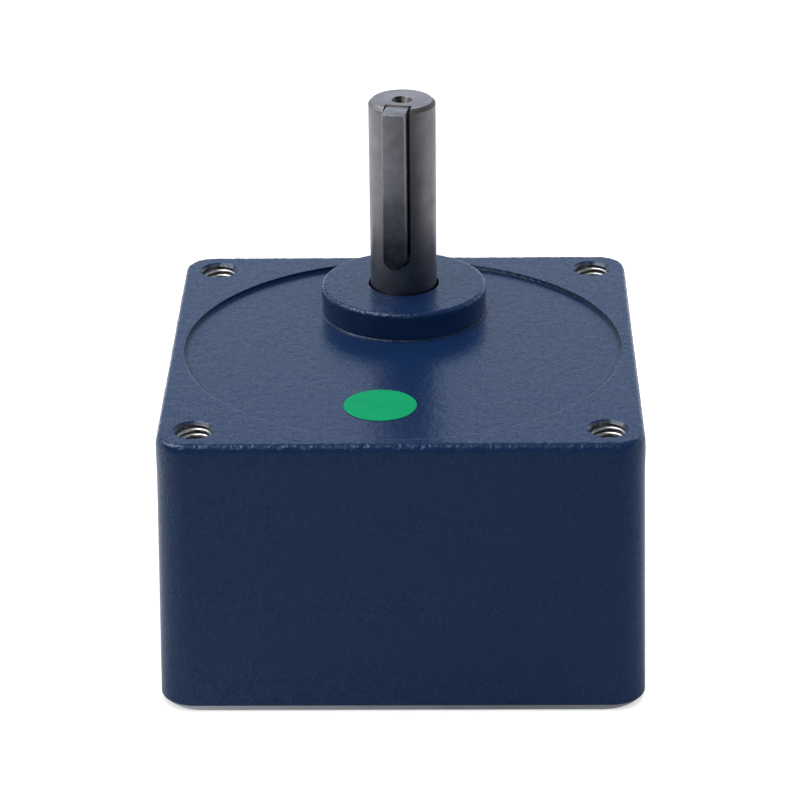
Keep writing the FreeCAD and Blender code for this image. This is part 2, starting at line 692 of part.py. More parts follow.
def make_motor_flange():
    """Bare flange: a thin lip under the case, a step in its pocket and a spigot in its cavity."""
    flange = new_body("motor_flange")
    lip = new_sketch(flange, "lip_sketch")
    draw_rounded_square(lip, half_lip, s.lip_corner_radius)
    add_feature(flange, "Pad", "lip", lip, s.lip_thickness)
    dress_edges(flange, "Chamfer", "lip_edge", at_height(0.0), s.lip_chamfer)
    step = new_sketch(flange, "step_sketch", "XY_Plane", s.lip_thickness)
    draw_rounded_square(step, half_step, s.pocket_corner_radius - s.step_clearance)
    add_feature(flange, "Pad", "step", step, s.pocket_depth)
    pad_circle(flange, "spigot", MOTOR_AXIS, spigot_radius, pocket_floor, spigot_top)
    pocket_circles(flange, "motor_register", [MOTOR_AXIS], register_radius, Size(0.0, "0"), s.register_depth)
    pocket_circles(flange, "pinion_hole", [MOTOR_AXIS], s.pinion_hole_radius, s.register_depth, spigot_top)
    pocket_circles(flange, "rear_bearing_seat", [OUTPUT_AXIS], s.rear_bearing_outer, rear_seat, spigot_top)
    pocket_circles(flange, "rear_bearing_room", [OUTPUT_AXIS], s.rear_bearing_outer - s.rear_ring_wall,
                   rear_seat - s.bearing_relief, rear_seat)
    inner_axes = [axis for _, axis in INNER_AXES]
    pocket_circles(flange, "rear_bush_seats", inner_axes, s.bush_outer, rear_bush_floor, spigot_top)
    pocket_circles(flange, "motor_holes", corner_holes, s.motor_hole_radius, Size(0.0, "0"), pocket_floor)
    pocket_circles(flange, "screw_holes", screw_places, s.screw_radius, Size(0.0, "0"), pocket_floor)
    dress_edges(flange, "Chamfer", "countersinks", is_circle(s.screw_radius, 0.0),
                s.screw_head_radius - s.screw_radius)
    return flange


def make_flange_screws():
    """Countersunk cross-slot screws, heads flush with the motor face."""
    nothing = Size(0.0, "0")
    cone = s.screw_head_radius - s.screw_radius
    tip = s.screw_radius / 2
    shank = turned("screw_shank", [
        (nothing, nothing),
        (s.screw_head_radius, nothing),
        (s.screw_radius, cone),
        (s.screw_radius, s.screw_length - tip),
        (tip, s.screw_length),
        (nothing, s.screw_length),
    ])
    half_slot = s.screw_slot_length / 2
    half_width = s.screw_slot_width / 2
    slots = (
        block("slot_across", s.screw_slot_length, s.screw_slot_width, nothing, s.screw_slot_depth,
              -half_slot, -half_width),
        block("slot_along", s.screw_slot_width, s.screw_slot_length, nothing, s.screw_slot_depth,
              -half_width, -half_slot),
    )
    screw = cut("flange_screw", shank, *slots)
    return group("flange_screws", screw, [(x, y, nothing) for x, y in screw_places])


def make_inspection_label():
    label = new_body("inspection_label")
    pad_circle(label, "label_disc", (s.label_x, s.label_y), s.label_radius,
               recess_floor, recess_floor + s.label_thickness)
    return label


# Output shaft and what turns with it

def make_output_shaft():
    """Stepped shaft: rear journal, gear seat with ring groove, collar, and the keyed end."""
    nothing = Size(0.0, "0")
    groove = s.seat_radius - s.ring_groove_depth
    groove_low = output_gear_low - s.ring_thickness - s.ring_play * 2
    seat_low = groove_low - s.ring_edge
    collar_top = output_gear_high + s.collar_width
    rear_end = rear_seat + s.journal_inset
    mouth_depth = (s.centre_mouth_radius - s.centre_drill_radius) / tangent(s.centre_angle)
    shaft = turned("output_shaft", [
        (nothing, rear_end),
        (s.rear_journal_radius - s.journal_chamfer, rear_end),
        (s.rear_journal_radius, rear_end + s.journal_chamfer),
        (s.rear_journal_radius, spigot_top),
        (s.shaft_radius, spigot_top),
        (s.shaft_radius, seat_low),
        (s.seat_radius, seat_low),
        (s.seat_radius, groove_low),
        (groove, groove_low),
        (groove, output_gear_low),
        (s.seat_radius, output_gear_low),
        (s.seat_radius, output_gear_high),
        (s.collar_radius, output_gear_high),
        (s.collar_radius, collar_top),
        (s.seat_radius, collar_top),
        (s.seat_radius, cavity_roof),
        (s.shaft_radius, cavity_roof),
        (s.shaft_radius, shaft_end - s.shaft_chamfer),
        (s.shaft_radius - s.shaft_chamfer, shaft_end),
        (s.centre_mouth_radius, shaft_end),
        (s.centre_drill_radius, shaft_end - mouth_depth),
        (s.centre_drill_radius, shaft_end - s.centre_depth),
        (nothing, shaft_end - s.centre_depth),
    ])
    end_keyway = new_sketch(shaft, "end_keyway_sketch", "XZ_Plane", s.shaft_radius)
    draw_slot(end_keyway, s.key_width / 2, shaft_end - s.shaft_key_length, shaft_end, False)
    add_feature(shaft, "Pocket", "end_keyway", end_keyway, s.key_sink)
    gear_keyway = new_sketch(shaft, "gear_keyway_sketch", "XZ_Plane", s.seat_radius)
    draw_slot(gear_keyway, s.key_width / 2, *gear_key_ends(), True)
    add_feature(shaft, "Pocket", "gear_keyway", gear_keyway, s.key_sink)
    return place(shaft, OUTPUT_AXIS, s.shaft_turn)


def gear_key_ends():
    """Lowest and highest point of the key in the middle of the output gear."""
    spare = (s.output_gear_width - s.gear_key_length) / 2
    return output_gear_low + spare, output_gear_high - spare


def make_key(label, bed_radius, low, high, round_top):
    key = new_body(label)
    sketch = new_sketch(key, f"{label}_sketch", "XZ_Plane", bed_radius - s.key_sink)
    draw_slot(sketch, s.key_width / 2, low, high, round_top)
    add_feature(key, "Pad", f"{label}_bar", sketch, s.key_height)
    return place(key, OUTPUT_AXIS, s.shaft_turn)


def make_output_gear():
    """Output gear with dished faces and a keyway in its bore."""
    blank = toothed_bar("output_blank", s.third_module, s.output_gear_teeth,
                        output_gear_low, output_gear_high, output_phase - float(s.shaft_turn))
    tools = wheel_tools("output_gear", s.third_module, s.output_gear_teeth, s.seat_radius,
                        output_gear_low, output_gear_high)
    keyway_top = s.seat_radius - s.key_sink + s.key_height + s.gear_key_clearance
    tools.append(block("gear_keyway_cut", s.key_width, keyway_top, output_gear_low, output_gear_high,
                       -(s.key_width / 2), -keyway_top))
    return place(cut("output_gear", blank, *tools), OUTPUT_AXIS, s.shaft_turn)


def make_retaining_ring():
    """Open spring ring in the groove behind the output gear, with two plier lugs."""
    low = output_gear_low - s.ring_thickness - s.ring_play
    high = low + s.ring_thickness
    inner = s.seat_radius - s.ring_groove_depth + s.ring_play
    outer = inner + s.ring_width
    lug_at = outer - s.ring_eye_radius
    lug_side = s.ring_gap / 2 + s.ring_lug_radius
    lugs = [(-lug_side, lug_at), (lug_side, lug_at)]
    band = cylinder("ring_band", outer, low, high)
    ears = [cylinder(f"ring_ear_{number}", s.ring_lug_radius, low, high, lug)
            for number, lug in enumerate(lugs, 1)]
    eyes = [cylinder(f"ring_eye_{number}", s.ring_eye_radius, low, high, lug)
            for number, lug in enumerate(lugs, 1)]
    hole = cylinder("ring_hole", inner, low, high)
    opening = block("ring_opening", s.ring_gap, outer * 2, low, high, -(s.ring_gap / 2), Size(0.0, "0"))
    ring = cut("gear_retaining_ring", fuse("ring_blank", band, *ears), hole, opening, *eyes)
    return place(ring, OUTPUT_AXIS, s.shaft_turn)


# Ball bearings

def bearing_ring(label, inner, outer, low, high, race_pitch, race_radius):
    """A bearing ring with bevelled edges and the ball race turned into it."""
    edge = s.ring_chamfer
    ring = turned(label, [
        (inner, low + edge), (inner + edge, low), (outer - edge, low), (outer, low + edge),
        (outer, high - edge), (outer - edge, high), (inner + edge, high), (inner, high - edge),
    ])
    race = new_sketch(ring, f"{label}_race_sketch", "XZ_Plane")
    draw_circle(race, race_pitch, (low + high) / 2, race_radius)
    groove = ring.newObject("PartDesign::Groove", f"{label}_race")
    groove.Profile = race
    groove.ReferenceAxis = (race, ["V_Axis"])
    groove.Angle = FULL_TURN
    doc.recompute()
    return place(ring, OUTPUT_AXIS)


def bearing_cage(label, pitch, wall, width, middle, ball_radius, ball_count):
    """A cage ring with a round pocket for each ball."""
    half_wall = wall / 2
    half_width = width / 2
    cage = turned(label, [
        (pitch - half_wall, middle - half_width), (pitch + half_wall, middle - half_width),
        (pitch + half_wall, middle + half_width), (pitch - half_wall, middle + half_width),
    ])
    drill = new_sketch(cage, f"{label}_pocket_sketch", "YZ_Plane")
    draw_circle(drill, 0.0, middle, ball_radius + s.pocket_clearance)
    pocket = add_feature(cage, "Pocket", f"{label}_pocket", drill, pitch + wall, Reversed=True)
    pattern = cage.newObject("PartDesign::PolarPattern", f"{label}_pockets")
    pattern.Originals = [pocket]
    pattern.Axis = (next(item for item in cage.Origin.OriginFeatures if item.Role == "Z_Axis"), [""])
    pattern.Angle = FULL_TURN
    pattern.setExpression("Occurrences", formula(ball_count))
    cage.Tip = pattern
    doc.recompute()
    return place(cage, OUTPUT_AXIS)


def bearing_balls(label, pitch, middle, ball_radius, ball_count):
    ball = doc.addObject("Part::Sphere", f"{label}_ball")
    ball.setExpression("Radius", formula(ball_radius))
    doc.recompute()
    places = []
    for number in range(int(float(ball_count))):
        angle = Size(float(number), repr(number)) * FULL_TURN / ball_count
        places.append((pitch * cosine(angle), pitch * sine(angle), middle))
    return place(group(label, ball, places), OUTPUT_AXIS)


def make_bearing(end, bore, outer, low, width, ring_wall, ball_radius, ball_count, cage_wall, cage_width):
    """The four pieces of a deep-groove ball bearing on the output axis."""
    high = low + width
    middle = (low + high) / 2
    pitch = (bore + outer) / 2
    race = ball_radius + s.race_clearance
    return [
        bearing_ring(f"{end}_bearing_outer_ring", outer - ring_wall, outer, low, high, pitch, race),
        bearing_ring(f"{end}_bearing_inner_ring", bore, bore + ring_wall, low, high, pitch, race),
        bearing_cage(f"{end}_bearing_cage", pitch, cage_wall, cage_width, middle, ball_radius, ball_count),
        bearing_balls(f"{end}_bearing_balls", pitch, middle, ball_radius, ball_count),
    ]


# Inner shafts

def make_pinion_shaft(name, axis, module, teeth, low, high, phase):
    """A shaft with its pinion cut in one piece, running in a bush at each end."""
    nothing = Size(0.0, "0")
    start = rear_bush_floor + s.journal_inset
    end = front_bush_roof - s.journal_inset
    journal = s.journal_radius
    tip = journal - s.journal_chamfer
    core = turned(f"{name}_shaft_core", [
        (nothing, start), (tip, start), (journal, start + s.journal_chamfer), (journal, rear_thrust),
        (s.core_radius, rear_thrust), (s.core_radius, front_thrust), (journal, front_thrust),
        (journal, end - s.journal_chamfer), (tip, end), (nothing, end),
    ])
    teeth_bar = toothed_bar(f"{name}_pinion", module, teeth, low, high, 0.0)
    shaft = fuse(f"{name}_pinion_shaft", core, teeth_bar)
    shaft.Label = f"{name}_pinion_shaft"
    return place(shaft, axis, phase)


def make_inner_gear(name, axis, module, teeth, low, high, phase):
    blank = toothed_bar(f"{name}_blank", module, teeth, low, high, 0.0)
    tools = wheel_tools(f"{name}_gear", module, teeth, s.core_radius, low, high)
    return place(cut(f"{name}_gear", blank, *tools), axis, phase)


def make_ring(label, axis, inner, outer, low, high):
    """A plain ring, such as a bush or a washer."""
    ring = turned(label, [(inner, low), (outer, low), (outer, high), (inner, high)])
    return place(ring, axis)


def make_inner_supports(name, axis):
    """The two bushes of an inner shaft, and its pair of thrust washers."""
    bore = s.journal_radius + s.journal_clearance
    nothing = Size(0.0, "0")
    washer = turned(f"{name}_washer", [
        (bore, nothing), (s.washer_outer, nothing),
        (s.washer_outer, s.washer_thickness), (bore, s.washer_thickness),
    ])
    heights = (spigot_top, boss_bottom - s.washer_thickness)
    washers = group(f"{name}_thrust_washers", washer, [(nothing, nothing, height) for height in heights])
    return [
        make_ring(f"{name}_rear_bush", axis, bore, s.bush_outer, rear_bush_floor, spigot_top),
        make_ring(f"{name}_front_bush", axis, bore, s.bush_outer, boss_bottom, front_bush_roof),
        place(washers, axis),
    ]


def make_pieces():
    first_pinion_high = first_gear_high + s.first_pinion_width
    second_pinion_high = front_thrust - s.pinion_inset
    pieces = [make_gear_case(), make_motor_flange(), make_flange_screws(), make_inspection_label()]
    pieces += [
        make_output_shaft(),
        make_key("shaft_key", s.shaft_radius, shaft_end - s.shaft_key_length, shaft_end, False),
        make_key("gear_key", s.seat_radius, *gear_key_ends(), True),
        make_output_gear(),
        make_retaining_ring(),
    ]
    pieces += make_bearing("front", s.shaft_radius, s.front_bearing_outer, cavity_roof, s.front_bearing_width,
                           s.front_ring_wall, s.front_ball_radius, s.front_ball_count,
                           s.front_cage_wall, s.front_cage_width)
    pieces += make_bearing("rear", s.rear_journal_radius, s.rear_bearing_outer, rear_seat, s.rear_bearing_width,
                           s.rear_ring_wall, s.rear_ball_radius, s.rear_ball_count,
                           s.rear_cage_wall, s.rear_cage_width)
    pieces += [
        make_pinion_shaft("first", FIRST_AXIS, s.second_module, s.first_pinion_teeth,
                          first_gear_high, first_pinion_high, first_phase),
        make_inner_gear("first", FIRST_AXIS, s.first_module, s.first_gear_teeth,
                        first_gear_low, first_gear_high, first_phase),
        make_pinion_shaft("second", SECOND_AXIS, s.third_module, s.second_pinion_teeth,
                          second_gear_high, second_pinion_high, second_phase),
        make_inner_gear("second", SECOND_AXIS, s.second_module, s.second_gear_teeth,
                        second_gear_low, second_gear_high, second_phase),
    ]
    for name, axis in INNER_AXES:
        pieces += make_inner_supports(name, axis)
    return pieces


def check(pieces):
    """Stops before anything is written if an object failed or a piece has no valid solid."""
    for item in doc.Objects:
        if "Invalid" in item.State or "Error" in item.State:
            raise RuntimeError(f"{item.Label} failed: {item.State}")
    for piece in pieces:
        if piece.Shape.isNull() or not piece.Shape.isValid() or not piece.Shape.Solids:
            raise RuntimeError(f"{piece.Label} has no valid solid")


def write(pieces):
    os.makedirs("parts", exist_ok=True)
    for piece in pieces:
        piece.Shape.exportStep(f"parts/{piece.Label}.step")
        box = piece.Shape.BoundBox
        print(f"{piece.Label}: {len(piece.Shape.Solids)} solids, {piece.Shape.Volume:.1f} mm3, "
              f"z {box.ZMin:.2f} to {box.ZMax:.2f}")


pieces = make_pieces()
doc.recompute()
check(pieces)
write(pieces)
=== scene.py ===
"""Dresses the gearhead's CAD frame: enamel on the die-cast case with its fat edges and beads, bare and turned
metal, tapped threads, flange screws, shaft key, inspection label, and a small studio around them.
"""
import functools
import json
import math

import bmesh
import bpy
from bpy.props import FloatProperty, FloatVectorProperty, IntProperty, PointerProperty
import mathutils.noise
from mathutils import Matrix, Vector


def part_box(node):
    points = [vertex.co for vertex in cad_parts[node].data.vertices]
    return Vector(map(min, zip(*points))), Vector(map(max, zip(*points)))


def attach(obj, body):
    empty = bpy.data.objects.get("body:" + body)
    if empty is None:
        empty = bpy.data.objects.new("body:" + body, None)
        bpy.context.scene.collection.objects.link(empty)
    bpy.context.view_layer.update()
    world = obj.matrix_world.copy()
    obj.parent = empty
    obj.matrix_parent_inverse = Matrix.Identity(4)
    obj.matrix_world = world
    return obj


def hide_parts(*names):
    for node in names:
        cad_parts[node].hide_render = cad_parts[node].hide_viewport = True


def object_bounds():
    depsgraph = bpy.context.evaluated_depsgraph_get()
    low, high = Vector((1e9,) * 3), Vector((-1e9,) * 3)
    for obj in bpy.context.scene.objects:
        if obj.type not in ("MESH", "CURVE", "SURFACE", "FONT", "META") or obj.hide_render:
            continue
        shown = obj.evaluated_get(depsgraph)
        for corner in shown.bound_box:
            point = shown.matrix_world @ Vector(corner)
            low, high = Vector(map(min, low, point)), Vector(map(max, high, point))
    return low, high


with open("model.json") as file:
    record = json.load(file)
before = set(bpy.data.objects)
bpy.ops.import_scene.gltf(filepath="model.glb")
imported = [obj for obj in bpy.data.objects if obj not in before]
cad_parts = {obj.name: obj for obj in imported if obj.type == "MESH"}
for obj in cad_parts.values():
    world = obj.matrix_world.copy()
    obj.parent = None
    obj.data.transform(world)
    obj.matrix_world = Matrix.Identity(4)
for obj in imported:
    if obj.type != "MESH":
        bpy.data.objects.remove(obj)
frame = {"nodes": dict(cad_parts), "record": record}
cad_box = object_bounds()
cad_nodes = frame["nodes"]

bl_info = {
    "name": "Gearhead dressing",
    "version": (1, 0, 0),
    "blender": (4, 5, 0),
    "location": "3D View > Sidebar > Gearhead",
    "description": "Finishes, threads, key, label and studio for the packed gearhead",
    "category": "Object",
}

MM = 0.001
mounts = {mount["name"]: mount for mount in frame["record"]["mounts"]}
axes = {joint["child"]: tuple(joint["pos_m"][:2]) for joint in frame["record"]["behaviour"]["joints"]}
MOTOR_AXIS = (0.0, 0.0)
OUTPUT_AXIS, FIRST_AXIS, SECOND_AXIS = axes["output"], axes["first_shaft"], axes["second_shaft"]
CASE_LOW, CASE_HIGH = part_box("gear_case")
CASE_TOP = mounts["front_face"]["pos_m"][2]
BOSS_TOP = CASE_HIGH.z
SHAFT_END = cad_box[1][2]
HOLE_SPACING = mounts["front_bolts"]["dims"]["spacing_x_mm"] * MM
HOLE_RADIUS = mounts["front_bolts"]["dims"]["hole_r_mm"] * MM
HOLE_PLACE = (HOLE_SPACING / 2, HOLE_SPACING / 2)
BOSS_RADIUS = mounts["shaft_boss"]["dims"]["r_mm"] * MM
SHAFT_RADIUS = mounts["output_shaft"]["dims"]["r_mm"] * MM

# Sizes of the solids that the record doesn't give
CASE_DRAFT = math.radians(1.2)
CASE_CORNER = 5.0 * MM
RECESS_RADIUS = 32.3 * MM
BOSS_RIM = 0.5 * MM
EXIT_RADIUS = SHAFT_RADIUS + 0.33 * MM
SCREW_HEAD, SCREW_CORE = 2.75 * MM, 1.5 * MM
REAR_THREAD_FOOT = 3.2 * MM

# Colours of painted shade and painted highlights, partly with worn paint, oily films and worn edges
# Painted shade on the enamel at the recess wall and the boss foot
PAINTED_SHADE_TINT = (0.004, 0.010, 0.026)
# Painted highlight on the front half of the recess rim
RIM_HIGHLIGHT_TINT = (0.055, 0.080, 0.155)
# Paint worn to metal, with painted shade, in the hole mouths
SCRAPED_AND_SHADED_TINTS = ((0.014, 0.017, 0.030), (0.075, 0.076, 0.098))
# Painted shade on the bare walls of the tapped holes
HOLE_SHADE_TINT = (0.10, 0.10, 0.11)
# Oily film with painted shade at the shaft's foot
SHAFT_OILY_SHADE_TINT = (0.125, 0.116, 0.112)
# Oily film with painted shade at the key's foot
KEY_OILY_SHADE_TINT = (0.036, 0.034, 0.037)
# Painted shade on the shaft end's chamfer
CHAMFER_SHADE_TINT = (0.20, 0.19, 0.185)
# Painted shade in the shaft end's centre hole
CENTRE_HOLE_SHADE_TINT = (0.06, 0.058, 0.06)
# Worn key edges with a painted highlight
RUBBED_HIGHLIGHT_TINT = (0.85, 0.84, 0.84)
# Painted shade on the label's cut edge
LABEL_EDGE_SHADE_TINT = (0.003, 0.030, 0.020)

# Paint: how little it stands proud of flat faces, how far its lip at the shaft is sunk, its lumps as (size,
# gain), the fades of its fat edges as (depth in mm, part of the bulge, unevenness), the front edge that its
# beads lie on, and how deep, small and scattered they are
PROUD = 0.001 * MM
EXIT_SUNK = 0.03 * MM
LUMPS = ((0.8 * MM, 1.0), (0.34 * MM, 0.9))
EDGE_FADE = ((2.2, 0.97, 0.3), (3.0, 0.80, 0.25), (4.0, 0.56, 0.2), (5.2, 0.30, 0.12), (6.6, 0.12, 0.05),
             (8.0, 0.03, 0.0), (9.6, -0.02, 0.0))
RIM_FADE = ((1.0, 0.85, 0.3), (1.5, 0.5, 0.2), (2.1, 0.15, 0.1), (2.7, 0.03, 0.0), (3.2, -0.05, 0.0))
EDGE_RADIUS = 1.05 * MM
BEAD_SUNK, BEAD_LEAST, BEAD_SCATTER = 0.17 * MM, 0.10 * MM, 0.10 * MM

# Meshes: the corners of a square, the distance that merges points, the angles past which edges are sharp
SQUARE = ((-1, -1), (1, -1), (1, 1), (-1, 1))
MERGED = 1e-8
SWEPT_SHARP, TURNED_SHARP, KEY_SHARP = 80.0, 35.0, 30.0


def length(name, description, default):
    """A size in metres that a user may change."""
    return FloatProperty(name=name, description=description, default=default, min=0.0, precision=6,
                         subtype="DISTANCE", unit="LENGTH")


def colour(name, description, default):
    """A colour that a user may change."""
    return FloatVectorProperty(name=name, description=description, default=default, size=3, min=0.0, max=1.0,
                               subtype="COLOR")


def share(name, description, default):
    """A share from 0 to 1 that a user may change."""
    return FloatProperty(name=name, description=description, default=default, min=0.0, max=1.0,
                         subtype="FACTOR")


class PaintSettings(bpy.types.PropertyGroup):
    """Enamel on the die-cast case."""
    tint: colour("Enamel", "Colour of the enamel", (0.0080, 0.0285, 0.098))
    deep_tint: colour("Deep enamel", "Colour in the hollows of the grain", (0.0066, 0.0240, 0.084))
    bare_tint: colour("Bare casting", "Colour of the unpainted inside", (0.55, 0.55, 0.56))
    gloss_tint: colour("Gloss tint", "Colour of the enamel's gloss", (0.75, 0.90, 1.0))
    roughness: share("Roughness", "Roughness of the enamel", 0.22)
    grain_size: length("Grain size", "Spacing of the fine grain", 0.30 * MM)
    grain_height: length("Grain height", "Height of the fine grain", 0.022 * MM)
    spot_size: length("Spot size", "Spacing of the duller spots", 0.28 * MM)
    peel_size: length("Peel size", "Spacing of the orange peel", 1.1 * MM)
    peel_height: length("Peel height", "Height of the orange peel", 0.04 * MM)
    # Brightness of the painted shade on the enamel under the front edge
    front_edge_shade: share("Edge depth", "Brightness of the thicker enamel at the front edge", 0.85)
    bulge: length("Bulge", "Fat edge of the paint round the front face", 0.12 * MM)
    rim_bulge: length("Rim bulge", "Fat edge of the paint round the boss", 0.08 * MM)
    exit_bulge: length("Exit bulge", "Fat edge of the paint in front of the shaft", 0.25 * MM)
    bead_radius: length("Bead radius", "Largest paint bead on an edge", 0.22 * MM)
    bead_count: IntProperty(name="Beads", description="Paint beads round the front edge", default=45, min=1)
    boss_bead_count: IntProperty(name="Boss beads", description="Paint beads round the boss", default=90,
                                 min=1)


class MetalSettings(bpy.types.PropertyGroup):
    """Bare metals."""
    aluminium: colour("Aluminium", "Machined motor flange", (0.68, 0.665, 0.66))
    thread: colour("Thread metal", "Freshly cut threads", (0.92, 0.91, 0.90))
    shaft: colour("Shaft steel", "Ground output shaft", (0.445, 0.405, 0.398))
    key: colour("Key steel", "Drawn key bar", (0.53, 0.50, 0.515))
    gear: colour("Gear steel", "Hobbed gears", (0.42, 0.42, 0.43))
    bearing: colour("Bearing steel", "Rings and balls", (0.66, 0.66, 0.67))
    zinc: colour("Zinc plate", "Screws, washers, cages and spring ring", (0.52, 0.53, 0.55))
    bronze: colour("Bronze", "Sintered bushes", (0.42, 0.24, 0.10))


class ThreadSettings(bpy.types.PropertyGroup):
    """Tapped corner holes."""
    pitch: length("Pitch", "Thread pitch", 0.8 * MM)
    ridge: length("Ridge", "Height of a thread ridge", 0.4 * MM)
    front_depth: length("Front depth", "Tapped depth from the front face", 13.3 * MM)
    mouth: length("Mouth", "Painted mouth, free of thread", 0.5 * MM)
    rear_depth: length("Rear depth", "Tapped depth behind the flange", 12.0 * MM)


class KeySettings(bpy.types.PropertyGroup):
    """Key at the shaft end."""
    width: length("Width", "Key across", 4.0 * MM)
    height: length("Height", "Key radially", 4.0 * MM)
    sink: length("Sink", "Key below the shaft surface", 2.5 * MM)
    slack: length("Slack", "Gap at each side of the keyway", 0.26 * MM)
    lean: length("Lean", "Shift of the key to one side of the keyway", 0.14 * MM)
    end_sink: length("End sink", "Key end below the shaft end", 0.15 * MM)
    bevel: length("Bevel", "Rubbed edges of the key", 0.24 * MM)
    turn: FloatProperty(name="Turn", description="Key about the shaft at rest, from -Y", subtype="ANGLE",
                        default=math.radians(10.0))


class LabelSettings(bpy.types.PropertyGroup):
    """Round label on the recess floor."""
    tint: colour("Label", "Colour of the label", (0.002, 0.36, 0.145))
    ripple: length("Ripple", "Unevenness of the label", 0.012 * MM)


class StageSettings(bpy.types.PropertyGroup):
    """Floor, light and camera."""
    floor: colour("Floor", "Colour of the floor", (0.86, 0.86, 0.86))
    floor_glow: FloatProperty(name="Floor glow", description="Light added to the floor for the camera",
                              default=0.55, min=0.0)
    front_mirror: share("Front reflection", "Brightness of the floor in front as the part reflects it", 0.26)
    side_mirror: share("Side reflection", "Brightness of the floor at the sides as the part reflects it",
                       0.78)
    back_mirror: share("Back reflection", "Brightness of the floor behind as the part reflects it", 1.0)
    room: share("Room", "Brightness of the dark room in front as the part reflects it", 0.08)
    backdrop: share("Backdrop", "Brightness of the backdrop 25 degrees up as the part reflects it", 0.70)
    horizon: share("Horizon", "Brightness of the backdrop at its foot as the part reflects it", 1.0)
    fill: FloatProperty(name="Fill", description="Even light from all round", default=0.12, min=0.0)
    lens: FloatProperty(name="Lens", description="Focal length for a 36 mm sensor", default=148.7, min=1.0,
                        subtype="DISTANCE_CAMERA")


SETTINGS = (
    ("gearhead_paint", PaintSettings),
    ("gearhead_metal", MetalSettings),
    ("gearhead_thread", ThreadSettings),
    ("gearhead_key", KeySettings),
    ("gearhead_label", LabelSettings),
    ("gearhead_stage", StageSettings),
)


def cover(tint):
    """A colour with full cover; a socket stays as it is."""
    return tint if isinstance(tint, bpy.types.NodeSocket) else (*tint, 1.0)


def shade(tint, part):
    """A darker colour."""
    return tuple(value * part for value in tint)


class Tree:
    """A node tree with short calls for its sums. An input is a value, or a socket to link."""

    def __init__(self, tree):
        self.tree = tree

    def give(self, socket, value):
        """Sets a socket, or links it."""
        if isinstance(value, bpy.types.NodeSocket):
            self.tree.links.new(value, socket)
        else:
            socket.default_value = value

    def add(self, kind, inputs=None, **settings):
        """A node with its settings and inputs."""
        node = self.tree.nodes.new(kind)
        for name, value in settings.items():
            setattr(node, name, value)
        for key, value in (inputs or {}).items():
            self.give(node.inputs[key], value)
        return node

    def out(self, kind, inputs=None, **settings):
        """The first output of a node."""
        return self.add(kind, inputs, **settings).outputs[0]

    def math(self, operation, *values):
        """One sum of two values, carried on if there are more."""
        return functools.reduce(lambda first, second: self.out(
            "ShaderNodeMath", {0: first, 1: second}, operation=operation), values)

    def times(self, *values):
        """The product of values."""
        return self.math("MULTIPLY", *values)

    def vector(self, operation, first, second=(0.0, 0.0, 0.0), output="Vector"):
        """One vector sum."""
        return self.add("ShaderNodeVectorMath", {0: first, 1: second}, operation=operation).outputs[output]

    def parts(self, vector):
        """X, Y and Z of a vector."""
        return self.add("ShaderNodeSeparateXYZ", {0: vector}).outputs

    def join(self, **parts):
        """A vector from some of X, Y and Z."""
        return self.out("ShaderNodeCombineXYZ", parts)

    def mix(self, amount, first, second):
        """Two colours mixed by an amount."""
        inputs = {0: amount, 6: cover(first), 7: cover(second)}
        return self.add("ShaderNodeMix", inputs, data_type="RGBA").outputs[2]

    def spread(self, value, low, high, from_low=0.0, from_high=1.0):
        """A value taken from one range to another."""
        return self.out("ShaderNodeMapRange", {
            "Value": value, "From Min": from_low, "From Max": from_high, "To Min": low, "To Max": high,
        })


